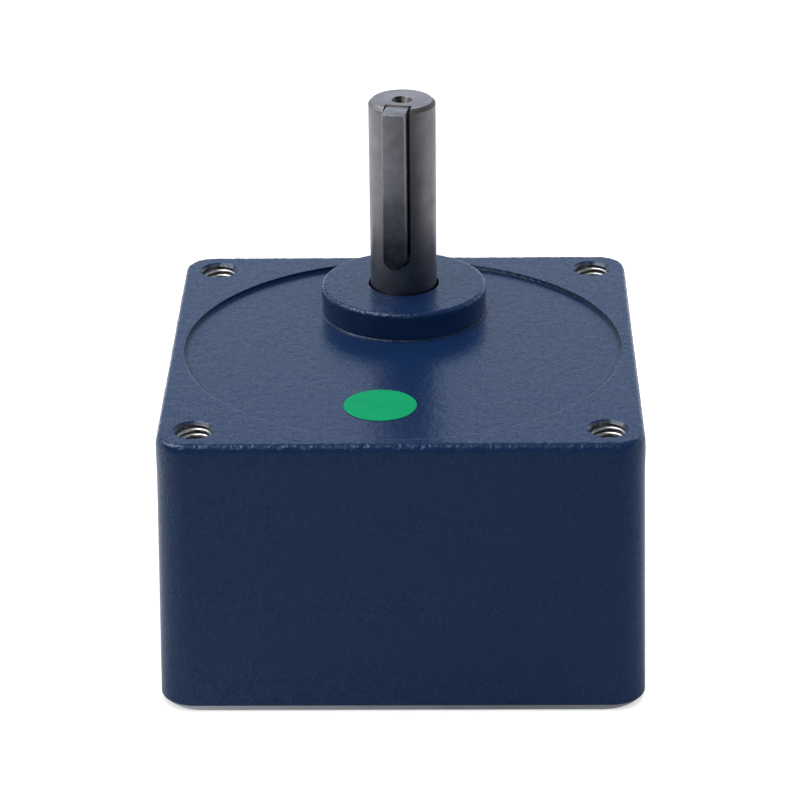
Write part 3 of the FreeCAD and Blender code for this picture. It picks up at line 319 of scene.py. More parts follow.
class Finish(Tree):
    """A material on Object coordinates, with the colour of its skin as far as it is mixed."""

    def __init__(self, name, tint):
        self.material = bpy.data.materials.new(name)
        self.material.use_nodes = True
        self.material.diffuse_color = cover(tint)
        super().__init__(self.material.node_tree)
        self.shader = self.tree.nodes["Principled BSDF"]
        self.place = self.add("ShaderNodeTexCoord").outputs["Object"]
        self.skin = tint

    @property
    def height(self):
        """Height over the motor face."""
        return self.parts(self.place)["Z"]

    def noise(self, size, detail=2.0, place=None):
        """Soft noise with features of one size."""
        where = self.place if place is None else place
        return self.out("ShaderNodeTexNoise", {"Vector": where, "Scale": 1.0 / size, "Detail": detail})

    def vary(self, noise, low, high, start=0.3, end=0.7):
        """A value that follows a noise over the middle of its range."""
        return self.spread(noise, low, high, start, end)

    def bump(self, height, depth, normal=None):
        """A bump of one depth, on top of another one."""
        inputs = {"Height": height, "Distance": depth, "Strength": 1.0}
        if normal is not None:
            inputs["Normal"] = normal
        return self.out("ShaderNodeBump", inputs)

    def stretch(self, *factors):
        """Object coordinates stretched along X, Y and Z."""
        return self.vector("MULTIPLY", self.place, factors)

    def radius(self, axis, place=None):
        """Distance from an axis along Z."""
        centred = self.vector("SUBTRACT", self.place if place is None else place, (*axis, 0.0))
        return self.vector("LENGTH", self.vector("MULTIPLY", centred, (1.0, 1.0, 0.0)), output="Value")

    def ring(self, axis, inner, outer, low, high, soft=0.3 * MM, place=None):
        """A value of 1 in a ring about an axis along Z, between two radii and two heights."""
        radius = self.radius(axis, place)
        across = self.math("MINIMUM", self.spread(radius, 0.0, 1.0, inner - soft, inner + soft),
                           self.spread(radius, 1.0, 0.0, outer - soft, outer + soft))
        return self.times(across, self.math("GREATER_THAN", self.height, low),
                          self.math("LESS_THAN", self.height, high))

    def coat(self, amount, tint):
        """Covers the skin with a tint by an amount."""
        self.skin = self.mix(amount, self.skin, tint)

    def oil_and_shade(self, tint, most, least, low, high):
        """An oily film with painted shade, darkest and thickest at the boss, that thins between two heights
        over the case.
        """
        film = self.spread(self.height, most, least, CASE_TOP + low, CASE_TOP + high)
        film = self.times(film, self.math("LESS_THAN", self.height, SHAFT_END - 0.1 * MM))
        self.coat(self.times(film, self.vary(self.noise(2.2 * MM, 4.0), 0.75, 1.15)), tint)

    def end(self, **sources):
        """Links or sets the shader's inputs, named with underscores, and gives the material."""
        for name, source in dict(sources, Base_Color=self.skin).items():
            self.give(self.shader.inputs[name.replace("_", " ")], source)
        return self.material


def cavity_mask(film):
    """The unpainted inside of the case."""
    inner_radius, inner_roof = 31.6 * MM, 40.0 * MM
    return film.times(film.math("LESS_THAN", film.radius(MOTOR_AXIS), inner_radius),
                      film.math("LESS_THAN", film.height, inner_roof))


def hole_mask(film):
    """The unpainted tapped holes, below the paint in their mouths."""
    hole_rim, paint_foot = HOLE_RADIUS + 0.06 * MM, CASE_TOP - 0.42 * MM
    to_hole = film.radius(HOLE_PLACE, film.vector("ABSOLUTE", film.place))
    return film.times(film.math("LESS_THAN", to_hole, hole_rim),
                      film.math("LESS_THAN", film.height, paint_foot))


def painted_edge_shade_mask(film):
    """Painted shade under the front edge, on the sides of the case: a value that fades downwards."""
    side_plane = 32.45 * MM
    parts = film.parts(film.vector("ABSOLUTE", film.place))
    outer = film.math("GREATER_THAN", film.math("MAXIMUM", parts["X"], parts["Y"]), side_plane)
    below = film.spread(film.height, 0.0, 1.0, CASE_TOP - 3.6 * MM, CASE_TOP - 1.6 * MM)
    above = film.spread(film.height, 1.0, 0.0, CASE_TOP - 0.6 * MM, CASE_TOP - 0.2 * MM)
    return film.times(below, above, outer)


def painted_shade_mask(film):
    """Painted shade, dull, at the foot of the recess wall, wide and thin at its back, and at the foot of the
    boss.
    """
    low, high, outer = CASE_TOP - 1.0 * MM, CASE_TOP - 0.2 * MM, RECESS_RADIUS + 0.6 * MM
    parts = film.parts(film.place)
    wall = film.ring(MOTOR_AXIS, RECESS_RADIUS - 0.5 * MM, outer, low, CASE_TOP - 0.1 * MM)
    thin = film.ring(MOTOR_AXIS, RECESS_RADIUS - 1.4 * MM, outer, low, high, 0.9 * MM)
    thin = film.times(thin, film.spread(parts["Y"], 0.0, 0.4, -5.0 * MM, 10.0 * MM))
    foot = film.ring(OUTPUT_AXIS, BOSS_RADIUS - 0.5 * MM, BOSS_RADIUS + 0.3 * MM, low, high)
    foot = film.times(foot, film.spread(parts["X"], 0.45, 1.0, -9.0 * MM, -4.0 * MM))
    return film.math("MAXIMUM", wall, thin, foot)


def scraped_shaded_mouth_mask(film):
    """The mouths of the tapped holes: paint worn through to metal, and painted shade."""
    return film.ring(HOLE_PLACE, -1.0 * MM, HOLE_RADIUS + 0.8 * MM, CASE_TOP - 1.0 * MM, CASE_TOP - 0.17 * MM,
                     place=film.vector("ABSOLUTE", film.place))


def rim_highlight_mask(film):
    """Painted highlight on the rim of the recess, on its front half."""
    rim = film.ring(MOTOR_AXIS, RECESS_RADIUS, RECESS_RADIUS + 0.22 * MM, CASE_TOP - 0.12 * MM,
                    CASE_TOP + 0.1 * MM, 0.08 * MM)
    patch = film.vary(film.noise(3.0 * MM, 3.0), 0.3, 1.0, 0.35, 0.6)
    front = film.spread(film.parts(film.place)["Y"], 1.0, 0.0, -12.0 * MM, -3.0 * MM)
    return film.times(rim, patch, front)


def enamel(paint):
    """Satin enamel with grain, orange peel, painted shade and a painted highlight, and bare casting where no
    paint goes.
    """
    grain_drawn_out, spots_apart = 0.7, (0.1, 0.2, 0.3)
    shade_cover, shade_gloss, rim_coarseness = 0.75, 0.25, 3.0
    film = Finish("blue_enamel", paint.tint)
    painted_shade, cavity, hole = painted_shade_mask(film), cavity_mask(film), hole_mask(film)
    on_top = film.math("GREATER_THAN", film.height, CASE_TOP - 0.75 * MM)
    drawn_out = film.vector("MULTIPLY", film.place, film.join(
        X=1.0, Y=film.spread(on_top, 1.0, grain_drawn_out), Z=1.0))
    grain = film.noise(paint.grain_size, 2.0, drawn_out)
    spot = film.noise(paint.spot_size, 1.0, film.vector("ADD", drawn_out, spots_apart))
    peel = film.noise(paint.peel_size, 1.0, drawn_out)
    film.skin = paint.deep_tint
    film.coat(film.vary(grain, 0.0, 1.0, 0.35, 0.65), paint.tint)
    film.coat(film.vary(film.noise(9.0 * MM), 0.0, 0.25, 0.4), paint.deep_tint)
    # Painted shade under the front edge
    film.coat(painted_edge_shade_mask(film), shade(paint.tint, paint.front_edge_shade))
    # Painted shade at the recess wall, the back of the recess and the boss foot; it also dulls the gloss
    film.coat(film.times(painted_shade, shade_cover), PAINTED_SHADE_TINT)
    # Painted highlight along the front half of the recess rim
    film.coat(rim_highlight_mask(film), RIM_HIGHLIGHT_TINT)
    # Paint worn to metal and painted shade in the hole mouths
    scraped_and_shaded = film.mix(film.vary(film.noise(0.6 * MM), 0.0, 1.0, 0.4, 0.6), *SCRAPED_AND_SHADED_TINTS)
    film.coat(scraped_shaded_mouth_mask(film), scraped_and_shaded)
    film.coat(cavity, paint.bare_tint)
    # Painted shade: the bare walls of the tapped holes are darkened
    film.coat(hole, HOLE_SHADE_TINT)
    rim = film.ring(OUTPUT_AXIS, BOSS_RADIUS - BOSS_RIM, BOSS_RADIUS + BOSS_RIM, BOSS_TOP - 0.6 * MM,
                    BOSS_TOP + 0.1 * MM)
    coarse = film.spread(rim, paint.grain_height, paint.grain_height * rim_coarseness)
    return film.end(
        Metallic=film.math("MAXIMUM", cavity, hole), IOR=1.5, Specular_Tint=cover(paint.gloss_tint),
        Roughness=film.vary(grain, paint.roughness - 0.05, paint.roughness + 0.07),
        Specular_IOR_Level=film.times(film.vary(spot, 0.22, 0.78), film.spread(painted_shade, 1.0, shade_gloss)),
        Normal=film.bump(grain, coarse, film.bump(peel, paint.peel_height)))


def turned_metal(name, tint, axis, roughness, mark_size, mark_depth, stain=0.25, oil_and_shade=False):
    """Metal turned or ground about an axis along Z: rings on its ends and round its sides, faint stains."""
    metal = Finish(name, tint)
    dark = shade(tint, 0.62)
    rings = metal.noise(mark_size, 3.0, metal.join(X=metal.radius(axis), Z=metal.height))
    cloud, fine = metal.noise(4.0 * MM, 4.0), metal.noise(0.2 * MM)
    metal.coat(metal.vary(cloud, 0.0, stain, 0.4), dark)
    metal.coat(metal.vary(rings, 0.0, 0.22, 0.4, 0.75), dark)
    satin = metal.math("ADD", metal.vary(rings, roughness - 0.05, roughness + 0.08),
                       metal.vary(cloud, -0.04, 0.08))
    # Oily film with painted shade at the foot, painted shade on the chamfer and in the centre hole
    if oil_and_shade:
        metal.oil_and_shade(SHAFT_OILY_SHADE_TINT, 0.70, 0.47, 3.0 * MM, 20.0 * MM)
        chamfer = metal.ring(axis, SHAFT_RADIUS - 1.0 * MM, SHAFT_RADIUS + 1.0 * MM, SHAFT_END - 0.6 * MM,
                             SHAFT_END - 0.02 * MM)
        centre = metal.ring(axis, -1.0 * MM, 2.0 * MM, SHAFT_END - 6.0 * MM, SHAFT_END - 0.05 * MM)
        # Painted shade on the chamfer and in the centre hole
        metal.coat(metal.times(chamfer, 0.8), CHAMFER_SHADE_TINT)
        metal.coat(metal.times(centre, 0.7), CENTRE_HOLE_SHADE_TINT)
        satin = metal.math("ADD", satin, metal.times(chamfer, 0.25))
    return metal.end(Metallic=1.0, Roughness=satin,
                     Normal=metal.bump(fine, mark_depth * 0.5, metal.bump(rings, mark_depth)))


def rubbed_highlight_mask(metal, axis, outward, across, half, face, top, bevel):
    """Where the edges of the key's face are worn bright, here and there, more so towards the top: wear with a
    painted highlight.
    """
    centred = metal.vector("SUBTRACT", metal.place, axis)
    aside = metal.math("ABSOLUTE", metal.vector("DOT_PRODUCT", centred, across, "Value"), 0.0)
    out = metal.vector("DOT_PRODUCT", centred, outward, "Value")
    side = metal.times(metal.math("GREATER_THAN", aside, half - bevel),
                       metal.spread(metal.height, 0.0, 0.4, top - 20.0 * MM, top - 3.0 * MM))
    edge = metal.math("MAXIMUM", side, metal.math("GREATER_THAN", metal.height, top - bevel))
    patch = metal.vary(metal.noise(0.5 * MM, 3.0), 0.25, 1.0, 0.38, 0.6)
    return metal.times(edge, metal.math("GREATER_THAN", out, face - bevel), patch)


def drawn_steel(name, tint, rubbed_highlight=None):
    """Oily drawn bar with lines along Z and scuffs, and painted shade towards its foot; a key's worn and
    highlit edges are given as for rubbed_highlight_mask.
    """
    metal = Finish(name, tint)
    lines = metal.noise(0.16 * MM, 3.0, metal.stretch(1.0, 1.0, 0.04))
    scuff = metal.noise(1.6 * MM, 5.0)
    metal.coat(metal.vary(scuff, 0.0, 0.5, 0.42, 0.68), shade(tint, 0.6))
    # Oily film with painted shade towards the key's foot
    metal.oil_and_shade(KEY_OILY_SHADE_TINT, 1.0, 0.12, 8.0 * MM, 24.0 * MM)
    if rubbed_highlight:
        # Worn edges with a painted highlight
        metal.coat(rubbed_highlight_mask(metal, *rubbed_highlight), RUBBED_HIGHLIGHT_TINT)
    satin = metal.math("ADD", metal.vary(lines, 0.34, 0.44), metal.vary(scuff, -0.03, 0.06))
    return metal.end(Metallic=1.0, Roughness=satin, Normal=metal.bump(lines, 0.003 * MM))


def cut_thread_metal(tint):
    """Fresh tapped aluminium: bright flanks with chatter and smears."""
    metal = Finish("cut_thread", tint)
    chatter = metal.noise(0.5 * MM, 3.0, metal.stretch(1.0, 1.0, 3.0))
    metal.coat(metal.vary(metal.noise(1.3 * MM, 3.0), 0.0, 0.4, 0.42, 0.66), shade(tint, 0.35))
    return metal.end(Metallic=1.0, Roughness=metal.vary(chatter, 0.34, 0.48),
                     Normal=metal.bump(chatter, 0.003 * MM))


def sintered_bronze(tint):
    """Pressed powder bronze: dull, with open pores and stains of lubricant."""
    metal = Finish("sintered_bronze", tint)
    dark = shade(tint, 0.4)
    cells = metal.add("ShaderNodeTexVoronoi", {"Vector": metal.place, "Scale": 1.0 / (0.25 * MM)})
    pore = metal.spread(cells.outputs["Distance"], 0.0, 1.0, 0.0, 0.35)
    stain = metal.noise(2.5 * MM, 3.0)
    metal.coat(metal.vary(stain, 0.0, 0.6, 0.4), dark)
    metal.skin = metal.mix(pore, dark, metal.skin)
    return metal.end(Metallic=0.9, Roughness=metal.vary(stain, 0.34, 0.55),
                     Normal=metal.bump(pore, 0.01 * MM))


def label_film(tint, side_top):
    """Green film with a print screen, faint streaks, a soft gloss and painted shade on its cut edge below a
    height.
    """
    film = Finish("green_film", tint)
    dark = shade(tint, 0.8)
    fleck = film.noise(0.35 * MM)
    film.coat(film.vary(film.noise(1.4 * MM, 3.0, film.stretch(0.25, 1.0, 1.0)), 0.0, 0.5, 0.4), dark)
    film.coat(film.vary(fleck, 0.0, 0.25, 0.5, 0.75), dark)
    # Painted shade on the label's cut edge
    film.coat(film.math("LESS_THAN", film.height, side_top), LABEL_EDGE_SHADE_TINT)
    return film.end(Roughness=film.vary(fleck, 0.55, 0.68), Specular_IOR_Level=0.1,
                    Normal=film.bump(fleck, 0.004 * MM))


def dress(material, *names):
    """Gives CAD nodes a finish."""
    for name in names:
        for slot in cad_nodes[name].material_slots:
            slot.material = material


def show(name, data):
    """Puts a mesh, light or camera into the scene as an object at the origin."""
    piece = bpy.data.objects.new(name, data)
    bpy.context.scene.collection.objects.link(piece)
    return piece


def carry(piece, body, slot, *replaced):
    """Hangs a finished piece on its body's empty and hides the CAD nodes it replaces."""
    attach(piece, body)
    if replaced:
        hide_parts(*replaced)


def plain_mesh(name, form, sharp, material=None):
    """A closed mesh from a bmesh: doubles merged, faces outwards, edges sharp past an angle."""
    bmesh.ops.remove_doubles(form, verts=form.verts, dist=MERGED)
    bmesh.ops.recalc_face_normals(form, faces=form.faces)
    for face in form.faces:
        face.smooth = True
    mesh = bpy.data.meshes.new(name)
    form.to_mesh(mesh)
    form.free()
    mesh.set_sharp_from_angle(angle=math.radians(sharp))
    if material:
        mesh.materials.append(material)
    return mesh


def join_rings(form, rings, caps=False):
    """Faces between rings of points that follow each other, and over the ends; a ring of one is a tip."""
    for low, high in zip(rings, rings[1:]):
        for step in range(max(len(low), len(high))):
            corners = (low[step % len(low)], low[(step + 1) % len(low)], high[(step + 1) % len(high)],
                       high[step % len(high)])
            form.faces.new(list(dict.fromkeys(corners)))
    if caps:
        form.faces.new(rings[0][::-1])
        form.faces.new(rings[-1])


def lathe(form, profile, steps, centre=(0.0, 0.0)):
    """Turns a profile of (radius, height) about Z; ends on the axis close into points."""
    turns = [math.tau * step / steps for step in range(steps)]
    x, y = centre
    join_rings(form, [[form.verts.new((x + radius * math.cos(turn), y + radius * math.sin(turn), height))
                       for turn in (turns if radius else turns[:1])] for radius, height in profile])


class Pattern(Tree):
    """A Geometry Nodes tree with named inputs, for copies of one form."""

    def __init__(self, name, floats, integers):
        super().__init__(bpy.data.node_groups.new(name, "GeometryNodeTree"))
        sockets = self.tree.interface
        for kind, labels in (("Geometry", ("Geometry",)), ("Float", floats), ("Int", integers)):
            for label in labels:
                sockets.new_socket(label, in_out="INPUT", socket_type=f"NodeSocket{kind}")
        sockets.new_socket("Geometry", in_out="OUTPUT", socket_type="NodeSocketGeometry")
        self.given = self.add("NodeGroupInput").outputs

    def corners(self, across, along):
        """The corners of a rectangle."""
        return self.out("GeometryNodeMeshGrid", {
            "Size X": across, "Size Y": along, "Vertices X": 2, "Vertices Y": 2,
        })

    def random(self, low, high, seed):
        """A random number for each point."""
        return self.add("FunctionNodeRandomValue", {2: low, 3: high, "Seed": seed}).outputs[1]

    def end(self, material, smooth, **inputs):
        """Places the copies, makes them real, shades them smooth if asked and gives them their finish."""
        form = self.out("GeometryNodeRealizeInstances", {0: self.out("GeometryNodeInstanceOnPoints", inputs)})
        if smooth:
            form = self.out("GeometryNodeSetShadeSmooth", {"Geometry": form})
        form = self.out("GeometryNodeSetMaterial", {"Geometry": form, "Material": material})
        self.give(self.add("NodeGroupOutput").inputs[0], form)
        return self

    def bake(self, name, mesh, values):
        """Runs the tree on a mesh and keeps the result as a plain mesh object."""
        piece = show(name, mesh)
        modifier = piece.modifiers.new("build", "NODES")
        modifier.node_group = self.tree
        for item in self.tree.interface.items_tree:
            if item.in_out == "INPUT" and item.name in values:
                modifier[item.identifier] = values[item.name]
        depsgraph = bpy.context.evaluated_depsgraph_get()
        baked = bpy.data.meshes.new_from_object(piece.evaluated_get(depsgraph))
        piece.modifiers.remove(modifier)
        piece.data = baked
        baked.name = name
        if not baked.polygons:
            raise RuntimeError(f"{name} came out empty")
        return piece


def thread_pattern(material):
    """Helical ridges in a square of four holes; each ridge thins to half at its ends."""
    foot_width, crest_width, end_size, steps_per_turn = 0.98, 0.3, 0.5, 40
    tree = Pattern("tapped_threads", ("Spacing", "Radius", "Ridge", "Pitch", "Depth", "Foot"), ())
    given = tree.given
    radius, height, pitch, depth = given["Radius"], given["Ridge"], given["Pitch"], given["Depth"]
    turns = tree.math("DIVIDE", depth, pitch)
    helix = tree.out("GeometryNodeCurveSpiral", {
        "Resolution": steps_per_turn, "Rotations": turns, "Start Radius": radius, "End Radius": radius,
        "Height": depth,
    })
    helix = tree.out("GeometryNodeSetCurveNormal", {"Curve": helix}, mode="Z_UP")
    ridge = tree.out("GeometryNodeCurvePrimitiveQuadrilateral", {
        "Height": height, "Bottom Width": tree.times(pitch, foot_width),
        "Top Width": tree.times(pitch, crest_width), "Offset": 0.0,
    }, mode="TRAPEZOID")
    ridge = tree.out("GeometryNodeTransform", {
        "Geometry": ridge, "Translation": tree.join(X=tree.times(height, 0.5)),
        "Rotation": (0.0, 0.0, -math.pi / 2),
    })
    along = tree.add("GeometryNodeSplineParameter").outputs["Factor"]
    left = tree.math("MINIMUM", along, tree.math("SUBTRACT", 1.0, along))
    size = tree.out("ShaderNodeMath", {0: left, 1: turns, 2: end_size}, operation="MULTIPLY_ADD")
    solid = tree.out("GeometryNodeCurveToMesh", {
        "Curve": helix, "Profile Curve": ridge, "Scale": tree.math("MINIMUM", 1.0, size), "Fill Caps": True,
    })
    solid = tree.out("GeometryNodeTransform", {"Geometry": solid, "Translation": tree.join(Z=given["Foot"])})
    return tree.end(material, True, Points=tree.corners(given["Spacing"], given["Spacing"]), Instance=solid)


def bead_pattern(material):
    """Small paint beads at random along a closed path, most of each sunk in the paint."""
    tree = Pattern("paint_beads", ("Least", "Most", "Scatter"), ("Count", "Seed"))
    given = tree.given
    seed, scatter = given["Seed"], given["Scatter"]
    path = tree.out("GeometryNodeMeshToCurve", {"Mesh": given["Geometry"]})
    along = tree.random(0.0, 1.0, seed)
    spot = tree.add("GeometryNodeSampleCurve", {"Curves": path, "Factor": along}, mode="FACTOR")
    reach = tree.join(X=scatter, Y=scatter, Z=scatter)
    low = tree.out("ShaderNodeVectorMath", {0: reach, "Scale": -1.0}, operation="SCALE")
    jitter = tree.out("FunctionNodeRandomValue", {0: low, 1: reach, "Seed": seed}, data_type="FLOAT_VECTOR")
    where = tree.vector("ADD", spot.outputs["Position"], jitter)
    dots = tree.out("GeometryNodePoints", {"Count": given["Count"], "Position": where})
    bead = tree.out("GeometryNodeMeshUVSphere", {"Segments": 8, "Rings": 5, "Radius": 1.0})
    size = tree.random(given["Least"], given["Most"], tree.math("ADD", seed, 1.0))
    return tree.end(material, True, Points=dots, Instance=bead, Scale=size)


def screw_pattern(material):
    """Four copies of one screw in a rectangle, each left at its own angle."""
    tree = Pattern("flange_screw_set", ("Spread X", "Spread Y"), ("Seed",))
    given = tree.given
    return tree.end(material, False, Points=tree.corners(given["Spread X"], given["Spread Y"]),
                    Instance=given["Geometry"],
                    Rotation=tree.join(Z=tree.random(0.0, math.pi / 2, given["Seed"])))


def path_mesh(name, points):
    """A closed loop of edges through points."""
    mesh = bpy.data.meshes.new(name)
    count = len(points)
    mesh.from_pydata(points, [(step, (step + 1) % count) for step in range(count)], [])
    return mesh


def rounded_square(half, corner, step_length):
    """Stations round a square with round corners: a point and the direction outwards at each."""
    stations = []
    side_steps = max(1, round(2 * (half - corner) / step_length))
    turn_steps = max(3, round(corner * math.pi / 2 / step_length))
    for quarter in range(4):
        spin = Matrix.Rotation(math.pi / 2 * quarter, 2)
        for step in range(turn_steps):
            turn = math.pi / 2 * step / turn_steps
            outward = Vector((math.cos(turn), math.sin(turn)))
            place = Vector((half - corner, half - corner)) + outward * corner
            stations.append((spin @ place, spin @ outward))
        for step in range(side_steps):
            along = (half - corner) * (1 - 2 * step / side_steps)
            stations.append((spin @ Vector((along, half)), spin @ Vector((0.0, 1.0))))
    return stations


def circle(centre, radius, steps):
    """Stations round a circle: a point and the direction outwards at each."""
    turns = (math.tau * step / steps for step in range(steps))
    outwards = [Vector((math.cos(turn), math.sin(turn))) for turn in turns]
    return [(Vector(centre) + outward * radius, outward) for outward in outwards]


def fat_section(fade, bulge, across, down, back, foot, crossing, steps, gain, base):
    """Section of a fat edge of paint, closed inside the case, as rows of (outwards, up, unevenness)."""
    rows = [(-back, -foot, 0.0), (-back, -PROUD / 2, 0.0), (-crossing, PROUD / 2, 0.0)]
    for step in range(steps + 1):
        turn = math.pi / 2 * step / steps
        rows.append((bulge + across * (math.sin(turn) - 1.0), down * (math.cos(turn) - 1.0) + PROUD,
                     min(1.0, math.sin(turn * 2) * gain + base, turn * 4.0)))
    return rows + fade + [(-foot, fade[-1][1], 0.0)]


def edge_section(fatness, facing):
    """Section of the front face's edge, fatter and longer where it faces the front."""
    front_gain, round_depth = 2.8, 2.0
    across, down = (0.6 + 0.35 * facing) * MM, (1.6 - 0.1 * facing) * MM
    bulge = fatness * (1.0 + front_gain * facing)
    fade = []
    for depth, part, uneven in EDGE_FADE:
        low = (round_depth + (depth - round_depth) * (1.0 + facing)) * MM
        fade.append((bulge * part + math.tan(CASE_DRAFT) * low, -low, uneven))
    return fat_section(fade, bulge, across, down, back=1.3 * MM, foot=0.6 * MM, crossing=0.97 * MM,
                       steps=14, gain=0.7, base=0.3)


def rim_section(fatness, size=1.0):
    """Section of a sharp rim's edge, of one size."""
    step = size * MM
    radius = 0.62 * step
    fade = [(fatness * part if fatness > 0.0 else fatness, -depth * step, uneven)
            for depth, part, uneven in RIM_FADE]
    return fat_section(fade, fatness, radius, radius, back=1.0 * step, foot=0.5 * step, crossing=0.58 * step,
                       steps=12, gain=1.0, base=0.15)


def sweep(name, stations, section, top, uneven):
    """Carries the section of a fat edge round stations into a closed ring of uneven paint."""
    form = bmesh.new()
    rings = []
    for point, outward in stations:
        rows = section(outward)
        ring = []
        for place, (reach, rise, part) in enumerate(rows):
            before, after = rows[max(place - 1, 0)], rows[min(place + 1, len(rows) - 1)]
            slope = Vector((after[0] - before[0], after[1] - before[1])).normalized()
            spot = Vector((*(point + outward * reach), top + rise))
            lift = uneven * part * sum(gain * mathutils.noise.noise(spot / size) for size, gain in LUMPS)
            ring.append(form.verts.new(spot + Vector((*(-outward * slope.y * lift), slope.x * lift))))
        rings.append(ring)
    join_rings(form, rings + rings[:1])
    return plain_mesh(name, form, SWEPT_SHARP, bpy.data.materials["blue_enamel"])


class PaintCase(bpy.types.Operator):
    """Paint the die-cast case"""
    bl_idname = "gearhead.paint_case"
    bl_label = "Case paint"

    def execute(self, context):
        dress(enamel(context.scene.gearhead_paint), "gear_case")
        return {"FINISHED"}


class AddPaintBeads(bpy.types.Operator):
    """Add the fat edges and the beads of paint along the front edge, round the boss and at the shaft"""
    bl_idname = "gearhead.add_paint_beads"
    bl_label = "Paint beads"

    def execute(self, context):
        paint = context.scene.gearhead_paint
        station_gap, boss_steps, exit_steps, lip_size = 0.14 * MM, 560, 240, 0.3
        taken_in = (CASE_TOP - CASE_LOW.z) * math.tan(CASE_DRAFT)
        front = rounded_square(CASE_HIGH.x - taken_in, CASE_CORNER - taken_in, station_gap)
        boss = circle(OUTPUT_AXIS, BOSS_RADIUS, boss_steps)
        shaft_exit = circle(OUTPUT_AXIS, EXIT_RADIUS, exit_steps)
        shaft_exit = [(point, -outward) for point, outward in reversed(shaft_exit)]
        for name, stations, section, top, uneven in (
            ("front_edge_paint", front,
             lambda outward: edge_section(paint.bulge, max(0.0, -outward.y) ** 2), CASE_TOP, 0.06 * MM),
            ("boss_rim_paint", boss, lambda outward: rim_section(paint.rim_bulge), BOSS_TOP, 0.05 * MM),
            ("shaft_exit_paint", shaft_exit,
             lambda outward: rim_section(paint.exit_bulge * max(0.0, outward.y) ** 0.7 - EXIT_SUNK, lip_size),
             BOSS_TOP, 0.01 * MM),
        ):
            carry(show(name, sweep(name, stations, section, top, uneven)), "housing", "case_paint")

        beads, slant = bead_pattern(bpy.data.materials["blue_enamel"]), math.sqrt(0.5)
        for name, stations, top, rim, bulge, count, seed in (
            ("front_edge_beads", front[::12], CASE_TOP, EDGE_RADIUS, paint.bulge, paint.bead_count, 3),
            ("boss_rim_beads", boss[::8], BOSS_TOP, BOSS_RIM, 0.0, paint.boss_bead_count, 8),
        ):
            inset = rim * (1.0 - slant) + (BEAD_SUNK - bulge) * slant
            path = [(*(point - outward * inset), top - inset) for point, outward in stations]
            piece = beads.bake(name, path_mesh(name, path), {
                "Count": count, "Least": BEAD_LEAST, "Most": paint.bead_radius, "Scatter": BEAD_SCATTER,
                "Seed": seed,
            })
            carry(piece, "housing", "case_paint")
        return {"FINISHED"}


class FinishFlange(bpy.types.Operator):
    """Give the motor flange its turned finish"""
    bl_idname = "gearhead.finish_flange"
    bl_label = "Motor flange"

    def execute(self, context):
        tint = tuple(context.scene.gearhead_metal.aluminium)
        dress(turned_metal("turned_aluminium", tint, MOTOR_AXIS, 0.34, 0.16 * MM, 0.006 * MM), "motor_flange")
        return {"FINISHED"}


class CutThreads(bpy.types.Operator):
    """Cut the threads of the front and rear corner holes"""
    bl_idname = "gearhead.cut_threads"
    bl_label = "Corner threads"

    def execute(self, context):
        thread = context.scene.gearhead_thread
        threads = thread_pattern(cut_thread_metal(tuple(context.scene.gearhead_metal.thread)))
        rear_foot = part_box("motor_flange")[0].z + REAR_THREAD_FOOT
        sizes = {"Spacing": HOLE_SPACING, "Radius": HOLE_RADIUS, "Ridge": thread.ridge, "Pitch": thread.pitch}
        for name, depth, foot in (
            ("front_threads", thread.front_depth - thread.mouth, CASE_TOP - thread.front_depth),
            ("rear_threads", thread.rear_depth, rear_foot),
        ):
            values = dict(sizes, Depth=depth - thread.pitch, Foot=foot + thread.pitch / 2)
            carry(threads.bake(name, bpy.data.meshes.new(name), values), "housing", "bare_aluminium")
        return {"FINISHED"}


class AddFlangeScrews(bpy.types.Operator):
    """Add the countersunk screws that hold the motor flange"""
    bl_idname = "gearhead.add_flange_screws"
    bl_label = "Flange screws"

    def execute(self, context):
        tint = tuple(context.scene.gearhead_metal.zinc)
        low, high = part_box("flange_screws")
        head, core, bevel, tip = SCREW_HEAD, SCREW_CORE, 0.12 * MM, SCREW_CORE / 2
        form = bmesh.new()
        lathe(form, [(0.0, low.z), (head - bevel, low.z), (head, low.z + bevel * 0.5),
                     (core, low.z + head - core), (core, high.z - tip), (tip, high.z), (0.0, high.z)], 48)
        blank = show("screw_blank", plain_mesh("screw_blank", form, TURNED_SHARP))
        form = bmesh.new()
        for turn in (0.0, math.pi / 2):
            self.add_wing(form, turn, low.z)
        cutter = show("cross_cutter", plain_mesh("cross_cutter", form, TURNED_SHARP))
        recess = blank.modifiers.new("cross_recess", "BOOLEAN")
        recess.operation, recess.solver, recess.object, recess.use_self = "DIFFERENCE", "EXACT", cutter, True
        screw = bpy.data.meshes.new_from_object(blank.evaluated_get(context.evaluated_depsgraph_get()))
        screw.set_sharp_from_angle(angle=math.radians(TURNED_SHARP))
        for scrap in (blank, cutter):
            bpy.data.objects.remove(scrap)
        screws = screw_pattern(turned_metal("zinc_screw", tint, MOTOR_AXIS, 0.3, 0.3 * MM, 0.001 * MM))
        piece = screws.bake("flange_screw_set", screw, {
            "Spread X": high.x - low.x - 2 * head, "Spread Y": high.y - low.y - 2 * head, "Seed": 5,
        })
        carry(piece, "housing", "zinc_steel", "flange_screws")
        return {"FINISHED"}

    @staticmethod
    def add_wing(form, turn, face):
        """One tapered wing of the cross recess, from outside the head down to its floor."""
        spin = Matrix.Rotation(turn, 3, "Z")
        over, depth = 0.2 * MM, 1.0 * MM
        mouth, floor = (1.45 * MM, 0.38 * MM), (0.75 * MM, 0.26 * MM)
        levels = ((*mouth, face - over), (*mouth, face), (*floor, face + depth))
        join_rings(form, [[form.verts.new(spin @ Vector((half_length * x, half_width * y, height)))
                           for x, y in SQUARE] for half_length, half_width, height in levels], caps=True)


